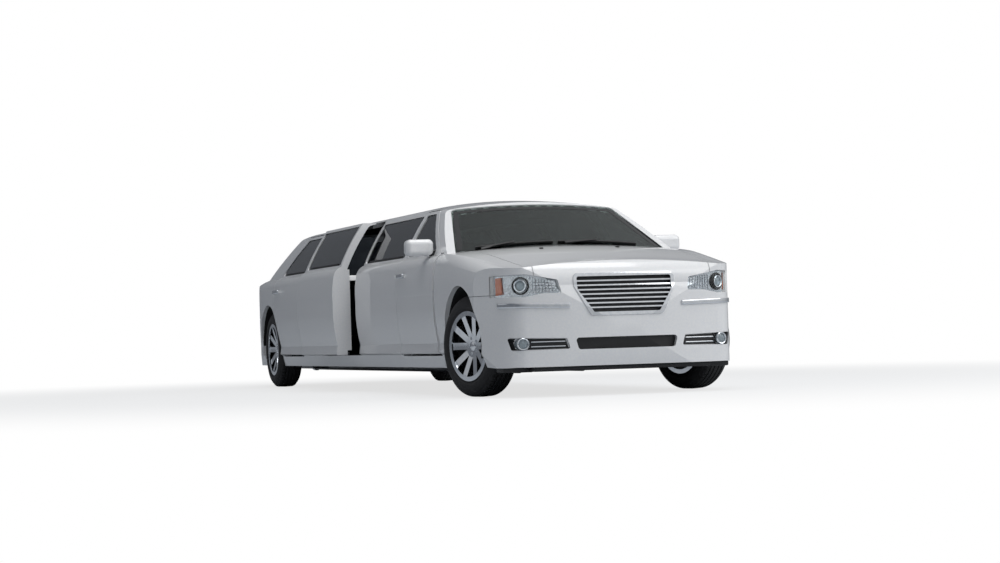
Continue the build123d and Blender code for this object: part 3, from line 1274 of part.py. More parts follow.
PARTITION_X = B_PILLAR_X - 40.0
heights = (BELT_Z - 40, BELT_Z + 60, BELT_Z + 200, RAIL_Z - 80)
wall = [(INNER - 4, FLOOR_TOP_Z)] + [(side_half(z, PILLAR_WALL + 8), z) for z in heights]
wall += [(480, RAIL_Z - 26)]
wall += [(-y, z) for y, z in reversed(wall)]
with BuildPart() as partition:
    add(yz_prism(wall, PARTITION_X - 40, PARTITION_X))
    through = (PARTITION_X - 60, PARTITION_X + 20)
    add(block(*through, -520, 520, BELT_Z - 120, RAIL_Z - 120), mode=Mode.SUBTRACT)
    add(block(*through, -TUNNEL_HALF, TUNNEL_HALF, 0, TUNNEL_TOP), mode=Mode.SUBTRACT)
panels["partition"] = partition.part
bar_span = (PLUG_DOOR_FRONT_X + 140, B_PILLAR_X - 260)
panels["bar_console"] = block(*bar_span, -BENCH_OUTER, -480, FLOOR_TOP_Z, 860)

for name, part in panels.items():
    part.label = name
    export_step(part, f"parts/{name}.step")
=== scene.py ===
# %% [markdown]
# # A white stretch limousine
# The solids of the car come from its CAD frame: panels, glass, wheels, running gear and cabin. This lesson
# dresses them. Each step says what a piece is on the real car, how it could be made, and why this way was
# chosen. All sizes are in metres, with +X forward, +Y to the car's left and +Z up.

# %% Load the frame
import math

import bmesh
import bpy
from mathutils import Matrix, Vector
from mathutils.bvhtree import BVHTree


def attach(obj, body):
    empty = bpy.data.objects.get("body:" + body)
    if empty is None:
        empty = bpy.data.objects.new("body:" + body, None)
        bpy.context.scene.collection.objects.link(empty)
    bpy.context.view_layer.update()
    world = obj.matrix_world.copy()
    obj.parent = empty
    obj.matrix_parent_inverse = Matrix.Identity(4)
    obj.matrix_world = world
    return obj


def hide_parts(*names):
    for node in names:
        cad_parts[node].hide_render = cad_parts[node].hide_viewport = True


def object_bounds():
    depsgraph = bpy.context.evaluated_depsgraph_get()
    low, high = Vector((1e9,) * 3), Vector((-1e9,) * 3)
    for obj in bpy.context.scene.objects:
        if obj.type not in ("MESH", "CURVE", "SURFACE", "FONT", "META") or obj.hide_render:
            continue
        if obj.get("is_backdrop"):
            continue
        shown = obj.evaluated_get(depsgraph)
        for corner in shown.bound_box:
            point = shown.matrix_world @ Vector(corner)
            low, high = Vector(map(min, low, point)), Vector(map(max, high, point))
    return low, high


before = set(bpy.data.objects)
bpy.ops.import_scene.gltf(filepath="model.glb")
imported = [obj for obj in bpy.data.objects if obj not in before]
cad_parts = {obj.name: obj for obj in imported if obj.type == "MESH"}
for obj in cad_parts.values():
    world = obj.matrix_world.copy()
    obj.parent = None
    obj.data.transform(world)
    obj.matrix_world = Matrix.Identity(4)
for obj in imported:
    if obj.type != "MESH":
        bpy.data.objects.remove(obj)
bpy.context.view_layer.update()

# %% [markdown]
# ## Finishes
# Every surface on a car is a paint, a plating, a moulding, a rubber or a glass. Shaders could be typed out
# one by one, but a small helper that adds a node and links it keeps each finish readable. Colours are written
# as sRGB hex, as a paint chart gives them, and one function turns them to the linear values that the shader
# needs.

# %% Colour and node helpers
MM = 0.001


def colour(hex_code):
    """Linear RGBA of an sRGB hex value."""
    parts = [int(hex_code[i:i + 2], 16) / 255 for i in (1, 3, 5)]
    linear = [c / 12.92 if c <= 0.04045 else ((c + 0.055) / 1.055) ** 2.4 for c in parts]
    return (*linear, 1.0)


def add_node(material, kind, sockets=None, links=None, **settings):
    """Add one shader node with its settings, socket values and links."""
    made = material.node_tree.nodes.new(kind)
    for name, value in settings.items():
        setattr(made, name, value)
    for name, value in (sockets or {}).items():
        made.inputs[name].default_value = value
    for name, source in (links or {}).items():
        material.node_tree.links.new(source, made.inputs[name])
    return made


def new_finish(name, base, roughness, metallic=0.0, **sockets):
    """Material with its plain values set on the shader's own sockets."""
    material = bpy.data.materials.new(name)
    material.use_nodes = True
    shader = material.node_tree.nodes["Principled BSDF"]
    values = {"Base Color": colour(base), "Roughness": roughness, "Metallic": metallic}
    for socket, value in {**values, **sockets}.items():
        shader.inputs[socket].default_value = value
    print("finish", name)
    return material, shader


def wear(material, shader, size_mm, low_hex, high_hex, rough_low, rough_high, bump_mm):
    """Cloudy change of colour and gloss at one size, and a shallow relief of the same pattern."""
    place = add_node(material, "ShaderNodeTexCoord")
    cloud = add_node(material, "ShaderNodeTexNoise", {"Scale": 1 / (size_mm * MM), "Detail": 4.0},
                     {"Vector": place.outputs["Object"]})
    tint = add_node(material, "ShaderNodeValToRGB", links={"Fac": cloud.outputs["Fac"]})
    tint.color_ramp.elements[0].position, tint.color_ramp.elements[1].position = 0.35, 0.65
    tint.color_ramp.elements[0].color, tint.color_ramp.elements[1].color = colour(low_hex), colour(high_hex)
    gloss = add_node(material, "ShaderNodeMapRange", {"To Min": rough_low, "To Max": rough_high},
                     {"Value": cloud.outputs["Fac"]})
    relief = add_node(material, "ShaderNodeBump", {"Strength": 1.0, "Distance": bump_mm * MM},
                      {"Height": cloud.outputs["Fac"]})
    for output, socket in ((tint.outputs["Color"], "Base Color"), (gloss.outputs["Result"], "Roughness"),
                           (relief.outputs["Normal"], "Normal")):
        material.node_tree.links.new(output, shader.inputs[socket])


# %% [markdown]
# ### Paint and plating
# The body is sprayed in solid white under a clear coat, which gives a hard, sharp gloss over a slightly rough
# colour. Spray leaves a faint ripple called orange peel, a few millimetres across; it is drawn a little
# coarser so that it shows. The grille, wheels, handles and strips are plated with chrome, which is nearly a
# mirror.

# %% Paint and chrome
white_paint, shader = new_finish("white_clearcoat_paint", "#E4E5E6", 0.42, **{"Coat Weight": 1.0,
                                 "Coat Roughness": 0.03, "Coat IOR": 1.5})
wear(white_paint, shader, 14, "#E2E3E5", "#E7E7E7", 0.38, 0.46, 0.02)
chrome, shader = new_finish("chrome_plating", "#DDE0E4", 0.06, 1.0)
wear(chrome, shader, 30, "#D6DADF", "#E3E5E8", 0.04, 0.09, 0.01)
brake_steel, shader = new_finish("turned_steel", "#6E6F71", 0.4, 1.0)
wear(brake_steel, shader, 3, "#5F6062", "#7C7D7F", 0.32, 0.5, 0.03)
bare_steel, shader = new_finish("aluminised_steel", "#8D8E8F", 0.45, 1.0)
wear(bare_steel, shader, 25, "#77777A", "#9B9C9D", 0.35, 0.6, 0.05)
cast_iron, shader = new_finish("cast_iron", "#3B3B3D", 0.7, 0.6)
wear(cast_iron, shader, 4, "#2F2F31", "#454548", 0.6, 0.85, 0.2)
underbody, shader = new_finish("underbody_coating", "#1D1E20", 0.85)
wear(underbody, shader, 8, "#17181A", "#26272A", 0.75, 0.95, 0.4)

# %% [markdown]
# ### Plastics, rubber and cloth
# Black trim is moulded plastic with a fine grain from its mould. Tyres are carbon-black rubber with a faint
# cloudy change of tone. The cabin has leather with a pebbled grain, and a cut-pile carpet that lines the roof too.

# %% Plastics, rubber and cloth
black_plastic, shader = new_finish("moulded_black_plastic", "#141416", 0.5)
wear(black_plastic, shader, 2, "#111113", "#19191B", 0.42, 0.6, 0.05)
gloss_black, shader = new_finish("gloss_black_plastic", "#08080A", 0.12)
wear(gloss_black, shader, 40, "#060607", "#0B0B0D", 0.08, 0.18, 0.005)
seal_rubber, shader = new_finish("extruded_seal_rubber", "#101012", 0.62)
wear(seal_rubber, shader, 6, "#0D0D0E", "#161617", 0.55, 0.7, 0.03)
tyre_rubber, shader = new_finish("tyre_rubber", "#1C1C1E", 0.72)
wear(tyre_rubber, shader, 12, "#171719", "#232325", 0.62, 0.82, 0.12)
leather, shader = new_finish("pebbled_leather", "#1A1A1C", 0.48)
wear(leather, shader, 3, "#151517", "#222224", 0.4, 0.58, 0.18)
carpet, shader = new_finish("cut_pile_carpet", "#1F2023", 0.95)
wear(carpet, shader, 3, "#17181A", "#2A2B2F", 0.9, 1.0, 1.0)
liner_fibre, shader = new_finish("pressed_liner_fibre", "#0C0C0D", 0.9)
wear(liner_fibre, shader, 5, "#090909", "#121213", 0.85, 0.95, 0.4)

# %% [markdown]
# ### Glass and lenses
# The windshield is laminated glass with a slight green tint, and its colour is made far darker than real
# glass, as painted shade for the dim cabin behind it. The other windows carry a film so dark that the cabin
# barely shows. Both are true glass here, so the light bends and the panes keep their
# thickness. Lamp covers are clear polycarbonate, with amber and red mouldings behind or in place of them.

# %% Glass and lenses
# Windshield colour far darker than clear glass: a real green tint plus painted shade of the dim cabin behind it
glass_darkened_as_painted_shade, shader = new_finish("laminated_glass_with_painted_cabin_shade", "#6C7B76", 0.0,
                                 **{"Transmission Weight": 1.0, "IOR": 1.3})
wear(glass_darkened_as_painted_shade, shader, 160, "#687772", "#707F7A", 0.0, 0.012, 0.01)
tinted_glass, shader = new_finish("film_tinted_glass", "#1E2125", 0.01,
                                  **{"Transmission Weight": 1.0, "IOR": 1.5})
wear(tinted_glass, shader, 220, "#1B1E22", "#222529", 0.004, 0.02, 0.02)
lamp_cover, shader = new_finish("clear_polycarbonate", "#F4F7F8", 0.0,
                                **{"Transmission Weight": 1.0, "IOR": 1.25})
wear(lamp_cover, shader, 60, "#F0F4F5", "#F7F9FA", 0.0, 0.015, 0.005)
lamp_bowl, shader = new_finish("metallised_reflector", "#B9BDC2", 0.22, 1.0)
wear(lamp_bowl, shader, 10, "#A5A9AF", "#CDD0D4", 0.15, 0.3, 0.2)
lens_glass, shader = new_finish("pressed_lens_glass", "#C9D6DC", 0.03,
                                **{"Transmission Weight": 0.6, "IOR": 1.5})
wear(lens_glass, shader, 9, "#BECCD3", "#D3DEE3", 0.02, 0.06, 0.1)
amber_lens, shader = new_finish("amber_lens_plastic", "#B4501C", 0.18, **{"Coat Weight": 1.0})
wear(amber_lens, shader, 5, "#A34413", "#C75F26", 0.12, 0.25, 0.3)
red_lens, shader = new_finish("red_lens_plastic", "#7E0C10", 0.12, **{"Coat Weight": 1.0})
wear(red_lens, shader, 7, "#6C080C", "#941217", 0.08, 0.2, 0.2)
mirror_glass, shader = new_finish("silvered_glass", "#CBD2D6", 0.02, 1.0)
wear(mirror_glass, shader, 40, "#C6CED2", "#D0D6DA", 0.01, 0.03, 0.002)
blank_plate, shader = new_finish("painted_plate", "#C9CBCC", 0.4)
wear(blank_plate, shader, 20, "#C2C4C6", "#D0D1D2", 0.35, 0.5, 0.02)

# %% [markdown]
# ### Slots
# The part's record names a few material slots.

# %% [markdown]
# ## Dress the solids
# Each solid already has its shape and rides on its own body, so it only needs its finish. A table of finish
# and node names is shorter than one line for each node, and it stops with an error if a name is wrong.

# %% Finishes on the solids
SIDES = {"left": 1, "right": -1}
PLACES = ("front_left", "front_right", "rear_left", "rear_right")
DRESS = {
    white_paint: ["roof", "front_bumper", "rear_bumper", "plug_door", "hood", "trunk_lid"]
                 + [f"{panel}_{hand}" for panel in ("side_frame", "sill", "fender", "mirror") for hand in SIDES]
                 + [f"door_{place}" for place in PLACES],
    tinted_glass: ["fixed_glass", "plug_door_glass", "rear_window"] + [f"door_glass_{place}" for place in PLACES],
    glass_darkened_as_painted_shade: ["windshield"],
    lamp_cover: ["headlamp_covers"],
    lens_glass: ["fog_lamps"],
    lamp_bowl: ["headlamps"],
    red_lens: ["tail_lamps"],
    chrome: ["grille"] + [f"rim_{place}" for place in PLACES],
    tyre_rubber: [f"tyre_{place}" for place in PLACES],
    black_plastic: ["cowl", "grille_mesh", "dashboard", "steering_wheel", "fuel_tank"],
    gloss_black: ["bar_console", "partition"],
    leather: ["front_seats", "bench_seat"],
    cast_iron: ["engine", "driveline", "front_suspension", "rear_suspension", "knuckle_left", "knuckle_right"],
    bare_steel: ["exhaust", "plug_door_arms"],
    underbody: ["floor_pan", "trunk_tub"],
}
for finish, names in DRESS.items():
    for name in names:
        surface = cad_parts[name].data
        surface.materials.clear()
        surface.materials.append(finish)
print("dressed", sum(len(names) for names in DRESS.values()), "of", len(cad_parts))

# %% [markdown]
# ## Tools for the added pieces
# Trim lies on panels that curve two ways. It could be moved by eye, but a ray shot at the solid gives the
# exact place: `lay` drops points along a direction until they meet a panel and leaves them standing a little
# proud of it. `keep` turns a finished bmesh into an object at the origin and sets it riding on a body.

# %% Mesh tools
surfaces = {}


def skin_of(node):
    """Search tree over one solid's surface."""
    if node not in surfaces:
        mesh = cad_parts[node].data
        surfaces[node] = BVHTree.FromPolygons([v.co for v in mesh.vertices], [p.vertices for p in mesh.polygons])
    return surfaces[node]


def lay(bm, nodes, direction, proud):
    """Drop points along a direction onto the first of these solids that they meet, and trim off the rest."""
    aim = Vector(direction).normalized()
    missed = []
    for vert in bm.verts:
        start = vert.co - aim * 1.5
        hits = [skin_of(node).ray_cast(start, aim) for node in nodes]
        hits = [hit for hit in hits if hit[0] is not None]
        if hits:
            vert.co = min(hits, key=lambda hit: hit[3])[0] - aim * proud
        else:
            missed.append(vert)
    bmesh.ops.delete(bm, geom=missed, context="VERTS")


def keep(bm, name, finish, body, crease=35):
    """Close a bmesh into a named piece with one finish that rides on a body."""
    bmesh.ops.remove_doubles(bm, verts=bm.verts, dist=0.02 * MM)
    bmesh.ops.recalc_face_normals(bm, faces=bm.faces)
    mesh = bpy.data.meshes.new(name)
    bm.to_mesh(mesh)
    bm.free()
    mesh.materials.append(finish)
    mesh.polygons.foreach_set("use_smooth", [True] * len(mesh.polygons))
    mesh.set_sharp_from_angle(angle=math.radians(crease))
    made = bpy.data.objects.new(name, mesh)
    bpy.context.collection.objects.link(made)
    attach(made, body)
    print("piece", name, len(mesh.polygons), "faces")
    return made


def block(bm, centre, size, edge, segments=2):
    """Box with rounded edges."""
    made = bmesh.ops.create_cube(bm, size=1.0, matrix=Matrix.Translation(centre) @ Matrix.Diagonal((*size, 1.0)))
    edges = {e for v in made["verts"] for e in v.link_edges}
    if edge:
        bmesh.ops.bevel(bm, geom=list(edges), offset=edge, affect="EDGES", segments=segments, profile=0.5,
                        material=-1)


def turn(bm, profile, place, steps=48):
    """Spin a profile of (radius, along) points about the local Y axis, then put it in its place."""
    verts = [bm.verts.new((radius, along, 0.0)) for radius, along in profile]
    edges = [bm.edges.new(pair) for pair in zip(verts, verts[1:])]
    known = set(bm.verts) - set(verts)
    bmesh.ops.spin(bm, geom=verts + edges, cent=(0, 0, 0), axis=(0, 1, 0), angle=2 * math.pi, steps=steps,
                   use_merge=True)
    bmesh.ops.transform(bm, matrix=place, verts=[v for v in bm.verts if v not in known])


def strip(bm, corners, cells):
    """Flat four-cornered patch divided into cells along and across."""
    verts = [bm.verts.new(corner) for corner in corners]
    face = bm.faces.new(verts)
    along, across = cells
    long_edges = [face.edges[0], face.edges[2]]
    bmesh.ops.subdivide_edges(bm, edges=long_edges, cuts=along - 1, use_grid_fill=True)
    runs = [e for e in bm.edges if abs((e.verts[0].co - e.verts[1].co).normalized().dot(
        (Vector(corners[3]) - Vector(corners[0])).normalized())) > 0.9]
    if across > 1:
        bmesh.ops.subdivide_edges(bm, edges=runs, cuts=across - 1, use_grid_fill=True)


# %% [markdown]
# ## Wheels
# A wheel's place follows from the two axles, the track and, at the front, the angle that the wheels are
# steered to. One matrix for each wheel lets every wheel piece be modelled once, lying about the Y axis with
# +Y outwards.

# %% Wheel places
TYRE_R, HALF_TRACK, KINGPIN_HALF = 0.360, 0.805, 0.735
AXLES = {"front": 3.430, "rear": -3.178}
STEER = math.radians(16)
wheel_place = {}
for place in PLACES:
    end, hand = place.split("_")
    side = SIDES[hand]
    spot = Matrix.Translation((AXLES[end], side * HALF_TRACK, TYRE_R))
    if side < 0:
        spot = spot @ Matrix.Rotation(math.pi, 4, "Z")
    if end == "front":
        pivot = Matrix.Translation((AXLES[end], side * KINGPIN_HALF, 0))
        spot = pivot @ Matrix.Rotation(STEER, 4, "Z") @ pivot.inverted() @ spot
    wheel_place[place] = spot
    print(place, [round(v, 3) for v in spot.translation])

# %% [markdown]
# ### Tyres
# A road tyre has grooves running round it and slots across its shoulders. One pitch of the tread is modelled:
# the section is spun through a narrow slot and then through a block, the slot's shoulder faces are pushed in,
# and the pitch is repeated round the wheel. That gives clean slots with few faces.

# %% Tyre section and tread
PITCHES = 56
SLOT_SHARE = 0.16
SLOT_DEPTH = 0.006
# Columns: radius and distance from the middle of the tread, in mm, from the bead to the middle
TYRE_SIDE = [(229, 92), (251, 98), (254, 101), (258, 101), (272, 112.5), (292, 116), (314, 110.5), (326, 101.5),
             (329, 101), (332, 96), (343, 89), (350, 84), (354.5, 76), (357, 68), (358, 55), (351, 54), (351, 46),
             (358.4, 45), (359.2, 23), (352, 22), (352, 14), (359.6, 13)]
for place in PLACES:
    bm = bmesh.new()
    section = TYRE_SIDE + [(360, 0)] + [(radius, -along) for radius, along in reversed(TYRE_SIDE)]
    verts = [bm.verts.new((radius * MM, along * MM, 0)) for radius, along in section]
    line = verts + [bm.edges.new(pair) for pair in zip(verts, verts[1:])]
    pitch = 2 * math.pi / PITCHES
    slot = bmesh.ops.spin(bm, geom=line, cent=(0, 0, 0), axis=(0, 1, 0), angle=pitch * SLOT_SHARE, steps=1)
    slot_faces = [f for f in bm.faces if 0.057 < abs(f.calc_center_median().y) < 0.086]
    bmesh.ops.spin(bm, geom=slot["geom_last"], cent=(0, 0, 0), axis=(0, 1, 0), angle=pitch * (1 - SLOT_SHARE),
                   steps=2)
    sunk = bmesh.ops.extrude_face_region(bm, geom=slot_faces)
    bmesh.ops.delete(bm, geom=slot_faces, context="FACES")
    for vert in [v for v in sunk["geom"] if isinstance(v, bmesh.types.BMVert)]:
        reach = math.hypot(vert.co.x, vert.co.z)
        vert.co.x, vert.co.z = (c * (reach - SLOT_DEPTH) / reach for c in (vert.co.x, vert.co.z))
    bmesh.ops.spin(bm, geom=bm.verts[:] + bm.edges[:] + bm.faces[:], cent=(0, 0, 0), axis=(0, 1, 0),
                   angle=2 * math.pi - pitch, steps=PITCHES - 1, use_duplicate=True)
    bmesh.ops.transform(bm, matrix=wheel_place[place], verts=bm.verts)
    tyre = keep(bm, f"road_tyre_{place}", tyre_rubber, f"wheel_{place}", 28)
    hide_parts(f"tyre_{place}")

# %% [markdown]
# ### Wheel details
# Behind the plated spokes lie the brake disc and the rough inside of the rim, both duller than the plating.
# They are turned rings laid just over the solid's own faces. A plain domed cap closes the hub.

# %% Wheel details
for place in PLACES:
    body = f"wheel_{place}"
    bm = bmesh.new()
    turn(bm, [(0.080, -0.0145), (0.168, -0.0145), (0.168, -0.0380), (0.080, -0.0380)], wheel_place[place], 64)
    keep(bm, f"brake_disc_{place}", brake_steel, body)
    bm = bmesh.new()
    turn(bm, [(0.2135, -0.100), (0.2135, 0.052), (0.2125, 0.052), (0.2125, -0.100), (0.2135, -0.100)],
         wheel_place[place], 64)
    keep(bm, f"rim_barrel_{place}", cast_iron, body)
    bm = bmesh.new()
    turn(bm, [(0.0, 0.0725), (0.016, 0.0720), (0.027, 0.0700), (0.0335, 0.0660), (0.0345, 0.0590), (0.0, 0.0590)],
         wheel_place[place], 40)
    keep(bm, f"hub_cap_{place}", chrome, body)

# %% [markdown]
# ## Front of the car
# Under each headlamp a chrome strip follows the bumper round the corner. It could be a curve with a bevel,
# but a flat patch that is divided, dropped onto the bumper and given a thickness follows the panel exactly.

# %% Strips on the front bumper
def laid_strip(name, corners, cells, nodes, aim, proud, thick, finish, body, soften=0.0):
    """Patch dropped onto solids, thickened and softened at its edges."""
    bm = bmesh.new()
    strip(bm, corners, cells)
    lay(bm, nodes, aim, proud)
    bmesh.ops.recalc_face_normals(bm, faces=bm.faces)
    if sum(f.normal.dot(Vector(aim)) for f in bm.faces) > 0:
        bmesh.ops.reverse_faces(bm, faces=bm.faces)
    bmesh.ops.solidify(bm, geom=bm.faces[:], thickness=thick)
    if soften:
        rim = [e for e in bm.edges if len(e.link_faces) == 2 and e.calc_face_angle(0) > 1.0]
        bmesh.ops.bevel(bm, geom=rim, offset=soften, affect="EDGES", segments=2, profile=0.5, material=-1)
    return keep(bm, name, finish, body)


AHEAD = (-1, 0, 0)
CLEAR_X = 4.4
# Front view corners as (y, z) on the left side: strip under the lamp, and floor of the fog lamp's recess
LAMP_STRIP = [(0.405, 0.602), (0.846, 0.612), (0.846, 0.645), (0.405, 0.633)]
FOG_PANEL = [(0.412, 0.328), (0.788, 0.324), (0.806, 0.403), (0.434, 0.393)]
FOG_BARS = {"low": 0.341, "high": 0.373}


def in_front(corners, side):
    """Points ahead of the nose, on one side."""
    return [(CLEAR_X, side * y, z) for y, z in corners]


for hand, side in SIDES.items():
    laid_strip(f"lamp_strip_{hand}", in_front(LAMP_STRIP, side), (30, 3), ["front_bumper"], AHEAD, 1 * MM,
               -9 * MM, chrome, "body", 3 * MM)
    laid_strip(f"fog_panel_{hand}", in_front(FOG_PANEL, side), (48, 10), ["front_bumper"], AHEAD, 0.5 * MM,
               -3 * MM, black_plastic, "body")
    for place, z in FOG_BARS.items():
        bar = [(0.436, z), (0.664, z), (0.664, z + 0.007), (0.436, z + 0.007)]
        laid_strip(f"fog_bar_{place}_{hand}", in_front(bar, side), (16, 2), ["front_bumper"], AHEAD, 4 * MM,
                   -8 * MM, chrome, "body", 1.5 * MM)

# %% [markdown]
# ### Lamps
# Each headlamp holds a round projector with a bright ring, a second reflector beside it and an amber marker
# at the outer end, all behind the clear cover. The pieces stand on the lamp's bowl: a ray finds the place and
# the slope there, and each turned piece is set square to that slope.

# %% Headlamp and fog-lamp pieces
def on_surface(node, start, aim):
    """Matrix that puts local +Y along a surface's normal at the point that a ray meets."""
    spot, normal, _, _ = skin_of(node).ray_cast(Vector(start), Vector(aim))
    if normal.dot(Vector(aim)) > 0:
        normal = -normal
    return Matrix.Translation(spot) @ normal.to_track_quat("Y", "Z").to_matrix().to_4x4()


SIDE_MARKER = [(0.806, 0.706), (0.834, 0.700), (0.834, 0.818), (0.810, 0.822)]
LAMP_CELLS = [(0.486, 0.720), (0.640, 0.712), (0.640, 0.808), (0.500, 0.790)]
FOG_SPOT = (0.722, 0.364)
for hand, side in SIDES.items():
    seat = on_surface("headlamps", (5, side * 0.715, 0.760), AHEAD)
    bm = bmesh.new()
    turn(bm, [(0.031, 0.0), (0.031, 0.013), (0.034, 0.018), (0.039, 0.020), (0.043, 0.017), (0.046, 0.0)], seat)
    keep(bm, f"projector_ring_{hand}", chrome, "body")
    bm = bmesh.new()
    turn(bm, [(0.0, 0.021), (0.010, 0.0205), (0.019, 0.018), (0.026, 0.013), (0.0305, 0.006), (0.0305, 0.0)], seat)
    keep(bm, f"projector_lens_{hand}", lens_glass, "body")
    bm = bmesh.new()
    turn(bm, [(0.050, 0.0), (0.050, 0.010), (0.053, 0.012), (0.060, 0.010), (0.062, 0.0)], seat)
    keep(bm, f"projector_shroud_{hand}", gloss_black, "body")
    bm = bmesh.new()
    strip(bm, in_front(LAMP_CELLS, side), (7, 4))
    lay(bm, ["headlamps"], AHEAD, 6 * MM)
    bmesh.ops.inset_individual(bm, faces=bm.faces[:], thickness=2.5 * MM, depth=-5 * MM)
    keep(bm, f"lamp_reflector_{hand}", lamp_bowl, "body", 20)
    laid_strip(f"side_marker_{hand}", in_front(SIDE_MARKER, side), (6, 8), ["headlamps"], AHEAD, 4 * MM, -8 * MM,
               amber_lens, "body", 1 * MM)
    spot = on_surface("fog_lamps", (5, side * FOG_SPOT[0], FOG_SPOT[1]), AHEAD).translation
    seat = Matrix.Translation(spot) @ Matrix.Rotation(side * 0.25 - math.pi / 2, 4, "Z")
    bm = bmesh.new()
    turn(bm, [(0.030, -0.014), (0.030, 0.004), (0.033, 0.009), (0.038, 0.010), (0.0415, 0.006), (0.042, -0.020)],
         seat)
    keep(bm, f"fog_ring_{hand}", chrome, "body")
    bm = bmesh.new()
    turn(bm, [(0.0, 0.006), (0.016, 0.005), (0.025, 0.003), (0.0298, -0.001), (0.0298, -0.010)], seat)
    keep(bm, f"fog_lens_{hand}", lens_glass, "body")

# %% [markdown]
# ### Under the bumper
# A black tray closes the nose from below, and pressed fibre liners line the wheel arches so that they read
# dark. A liner is an arc of the arch's own circle, spun from one edge and then thickened inwards, clear of
# the steered tyres.

# %% Tray and arch liners
bm = bmesh.new()
block(bm, (4.02, 0, 0.190), (0.34, 1.28, 0.034), 0.010)
for side in (1, -1):
    block(bm, (3.98, side * 0.72, 0.195), (0.16, 0.22, 0.05), 0.010)
keep(bm, "nose_tray", black_plastic, "body")
ARCH_R, ARCH_Z = 0.425, 0.362
for place in PLACES:
    end, hand = place.split("_")
    side = SIDES[hand]
    bm = bmesh.new()
    start = math.radians(-12 if end == "front" else 5)
    reach = math.radians(204 if end == "front" else 170)
    inner, outer = (0.60, 0.918) if end == "front" else (0.58, 0.918)
    radius = ARCH_R - 1.5 * MM
    spot = (AXLES[end] + radius * math.cos(start), ARCH_Z + radius * math.sin(start))
    pair = [bm.verts.new((spot[0], side * y, spot[1])) for y in (inner, outer)]
    bmesh.ops.spin(bm, geom=pair + [bm.edges.new(pair)], cent=(AXLES[end], 0, ARCH_Z), axis=(0, -1, 0),
                   angle=reach, steps=48)
    bmesh.ops.recalc_face_normals(bm, faces=bm.faces)
    bmesh.ops.solidify(bm, geom=bm.faces[:], thickness=1.5 * MM)
    keep(bm, f"arch_liner_{place}", liner_fibre, "body")

# %% [markdown]
# ## Windshield and hood
# The glass has a printed black border that hides the glue, two wipers parked along its foot, and an inside
# mirror at its top. The hood carries two small washer jets. Strips are laid onto the glass along its own
# slope.

# %% Glass border, wipers, mirror and jets
ONTO_GLASS = (-0.42, 0, -0.91)
FOOT, HEAD = (3.030, 1.050, 0.826), (2.240, 1.422, 0.628)


def on_glass(share, half_share):
    """Point near the windshield: share up its slope, and share of its half width there."""
    x, z, half = (FOOT[i] + (HEAD[i] - FOOT[i]) * share for i in range(3))
    return (x + 0.2, half * half_share, z + 0.4)


BORDERS = {
    "top": [on_glass(0.93, -0.99), on_glass(0.93, 0.99), on_glass(0.985, 0.99), on_glass(0.985, -0.99)],
    "left": [on_glass(0.06, 0.945), on_glass(0.98, 0.935), on_glass(0.98, 0.995), on_glass(0.06, 0.995)],
    "right": [on_glass(0.06, -0.945), on_glass(0.98, -0.935), on_glass(0.98, -0.995), on_glass(0.06, -0.995)],
}
for name, corners in BORDERS.items():
    laid_strip(f"glass_border_{name}", corners, (24, 2), ["windshield"], ONTO_GLASS, 0.2 * MM, -0.6 * MM,
               gloss_black, "body")
# Columns: pivot and blade ends across the car, in metres
WIPERS = {"right": (-0.62, -0.66, -0.06), "left": (0.02, -0.02, 0.60)}
GLASS_HALF = 0.80
for name, (pivot, start, end) in WIPERS.items():
    low, high = 0.165, 0.185
    corners = [on_glass(up, across / GLASS_HALF)
               for up, across in ((low, start), (low, end), (high, end), (high, start))]
    laid_strip(f"wiper_blade_{name}", corners, (24, 1), ["windshield"], ONTO_GLASS, 1 * MM, -14 * MM,
               seal_rubber, "body", 2 * MM)
    middle = (start + end) / 2
    corners = [on_glass(up, across / GLASS_HALF)
               for up, across in ((0.11, pivot), (0.18, middle), (0.20, middle), (0.14, pivot))]
    laid_strip(f"wiper_arm_{name}", corners, (12, 1), ["windshield", "cowl"], ONTO_GLASS, 12 * MM, -10 * MM,
               black_plastic, "body", 2 * MM)
bm = bmesh.new()
block(bm, (2.215, 0.0, 1.335), (0.035, 0.24, 0.062), 0.014, 3)
block(bm, (2.245, 0.0, 1.372), (0.030, 0.03, 0.060), 0.008)
keep(bm, "inside_mirror", black_plastic, "body")
bm = bmesh.new()
for side in (1, -1):
    spot = on_surface("hood", (3.33, side * 0.29, 2.0), (0, 0, -1)).translation
    block(bm, spot + Vector((0, 0, 0.003)), (0.030, 0.026, 0.014), 0.005)
keep(bm, "washer_jets", black_plastic, "hood")

# %% [markdown]
# ## Doors and sides
# The handles are plated bars, laid over the solid ones with a slightly larger, softer shape. Each outside
# mirror gets its silvered glass and a black foot. A rubber strip runs along the foot of every side window,
# where the real glass slides out of its door.

# %% Handles, mirrors and belt strips
HANDLES = {"front": 1.902, "rear": -2.706}
for hand, side in SIDES.items():
    for end, x in HANDLES.items():
        bm = bmesh.new()
        block(bm, (x, side * 0.974, 0.902), (0.212, 0.020, 0.036), 0.0085, 3)
        keep(bm, f"handle_{end}_{hand}", chrome, f"door_{end}_{hand}")
    bm = bmesh.new()
    block(bm, (2.4442, side * 0.977, 1.096), (0.004, 0.150, 0.082), 0.0015)
    keep(bm, f"mirror_glass_{hand}", mirror_glass, f"door_front_{hand}")
    bm = bmesh.new()
    block(bm, (2.510, side * 0.866, 1.052), (0.076, 0.092, 0.050), 0.010)
    keep(bm, f"mirror_foot_{hand}", black_plastic, f"door_front_{hand}")
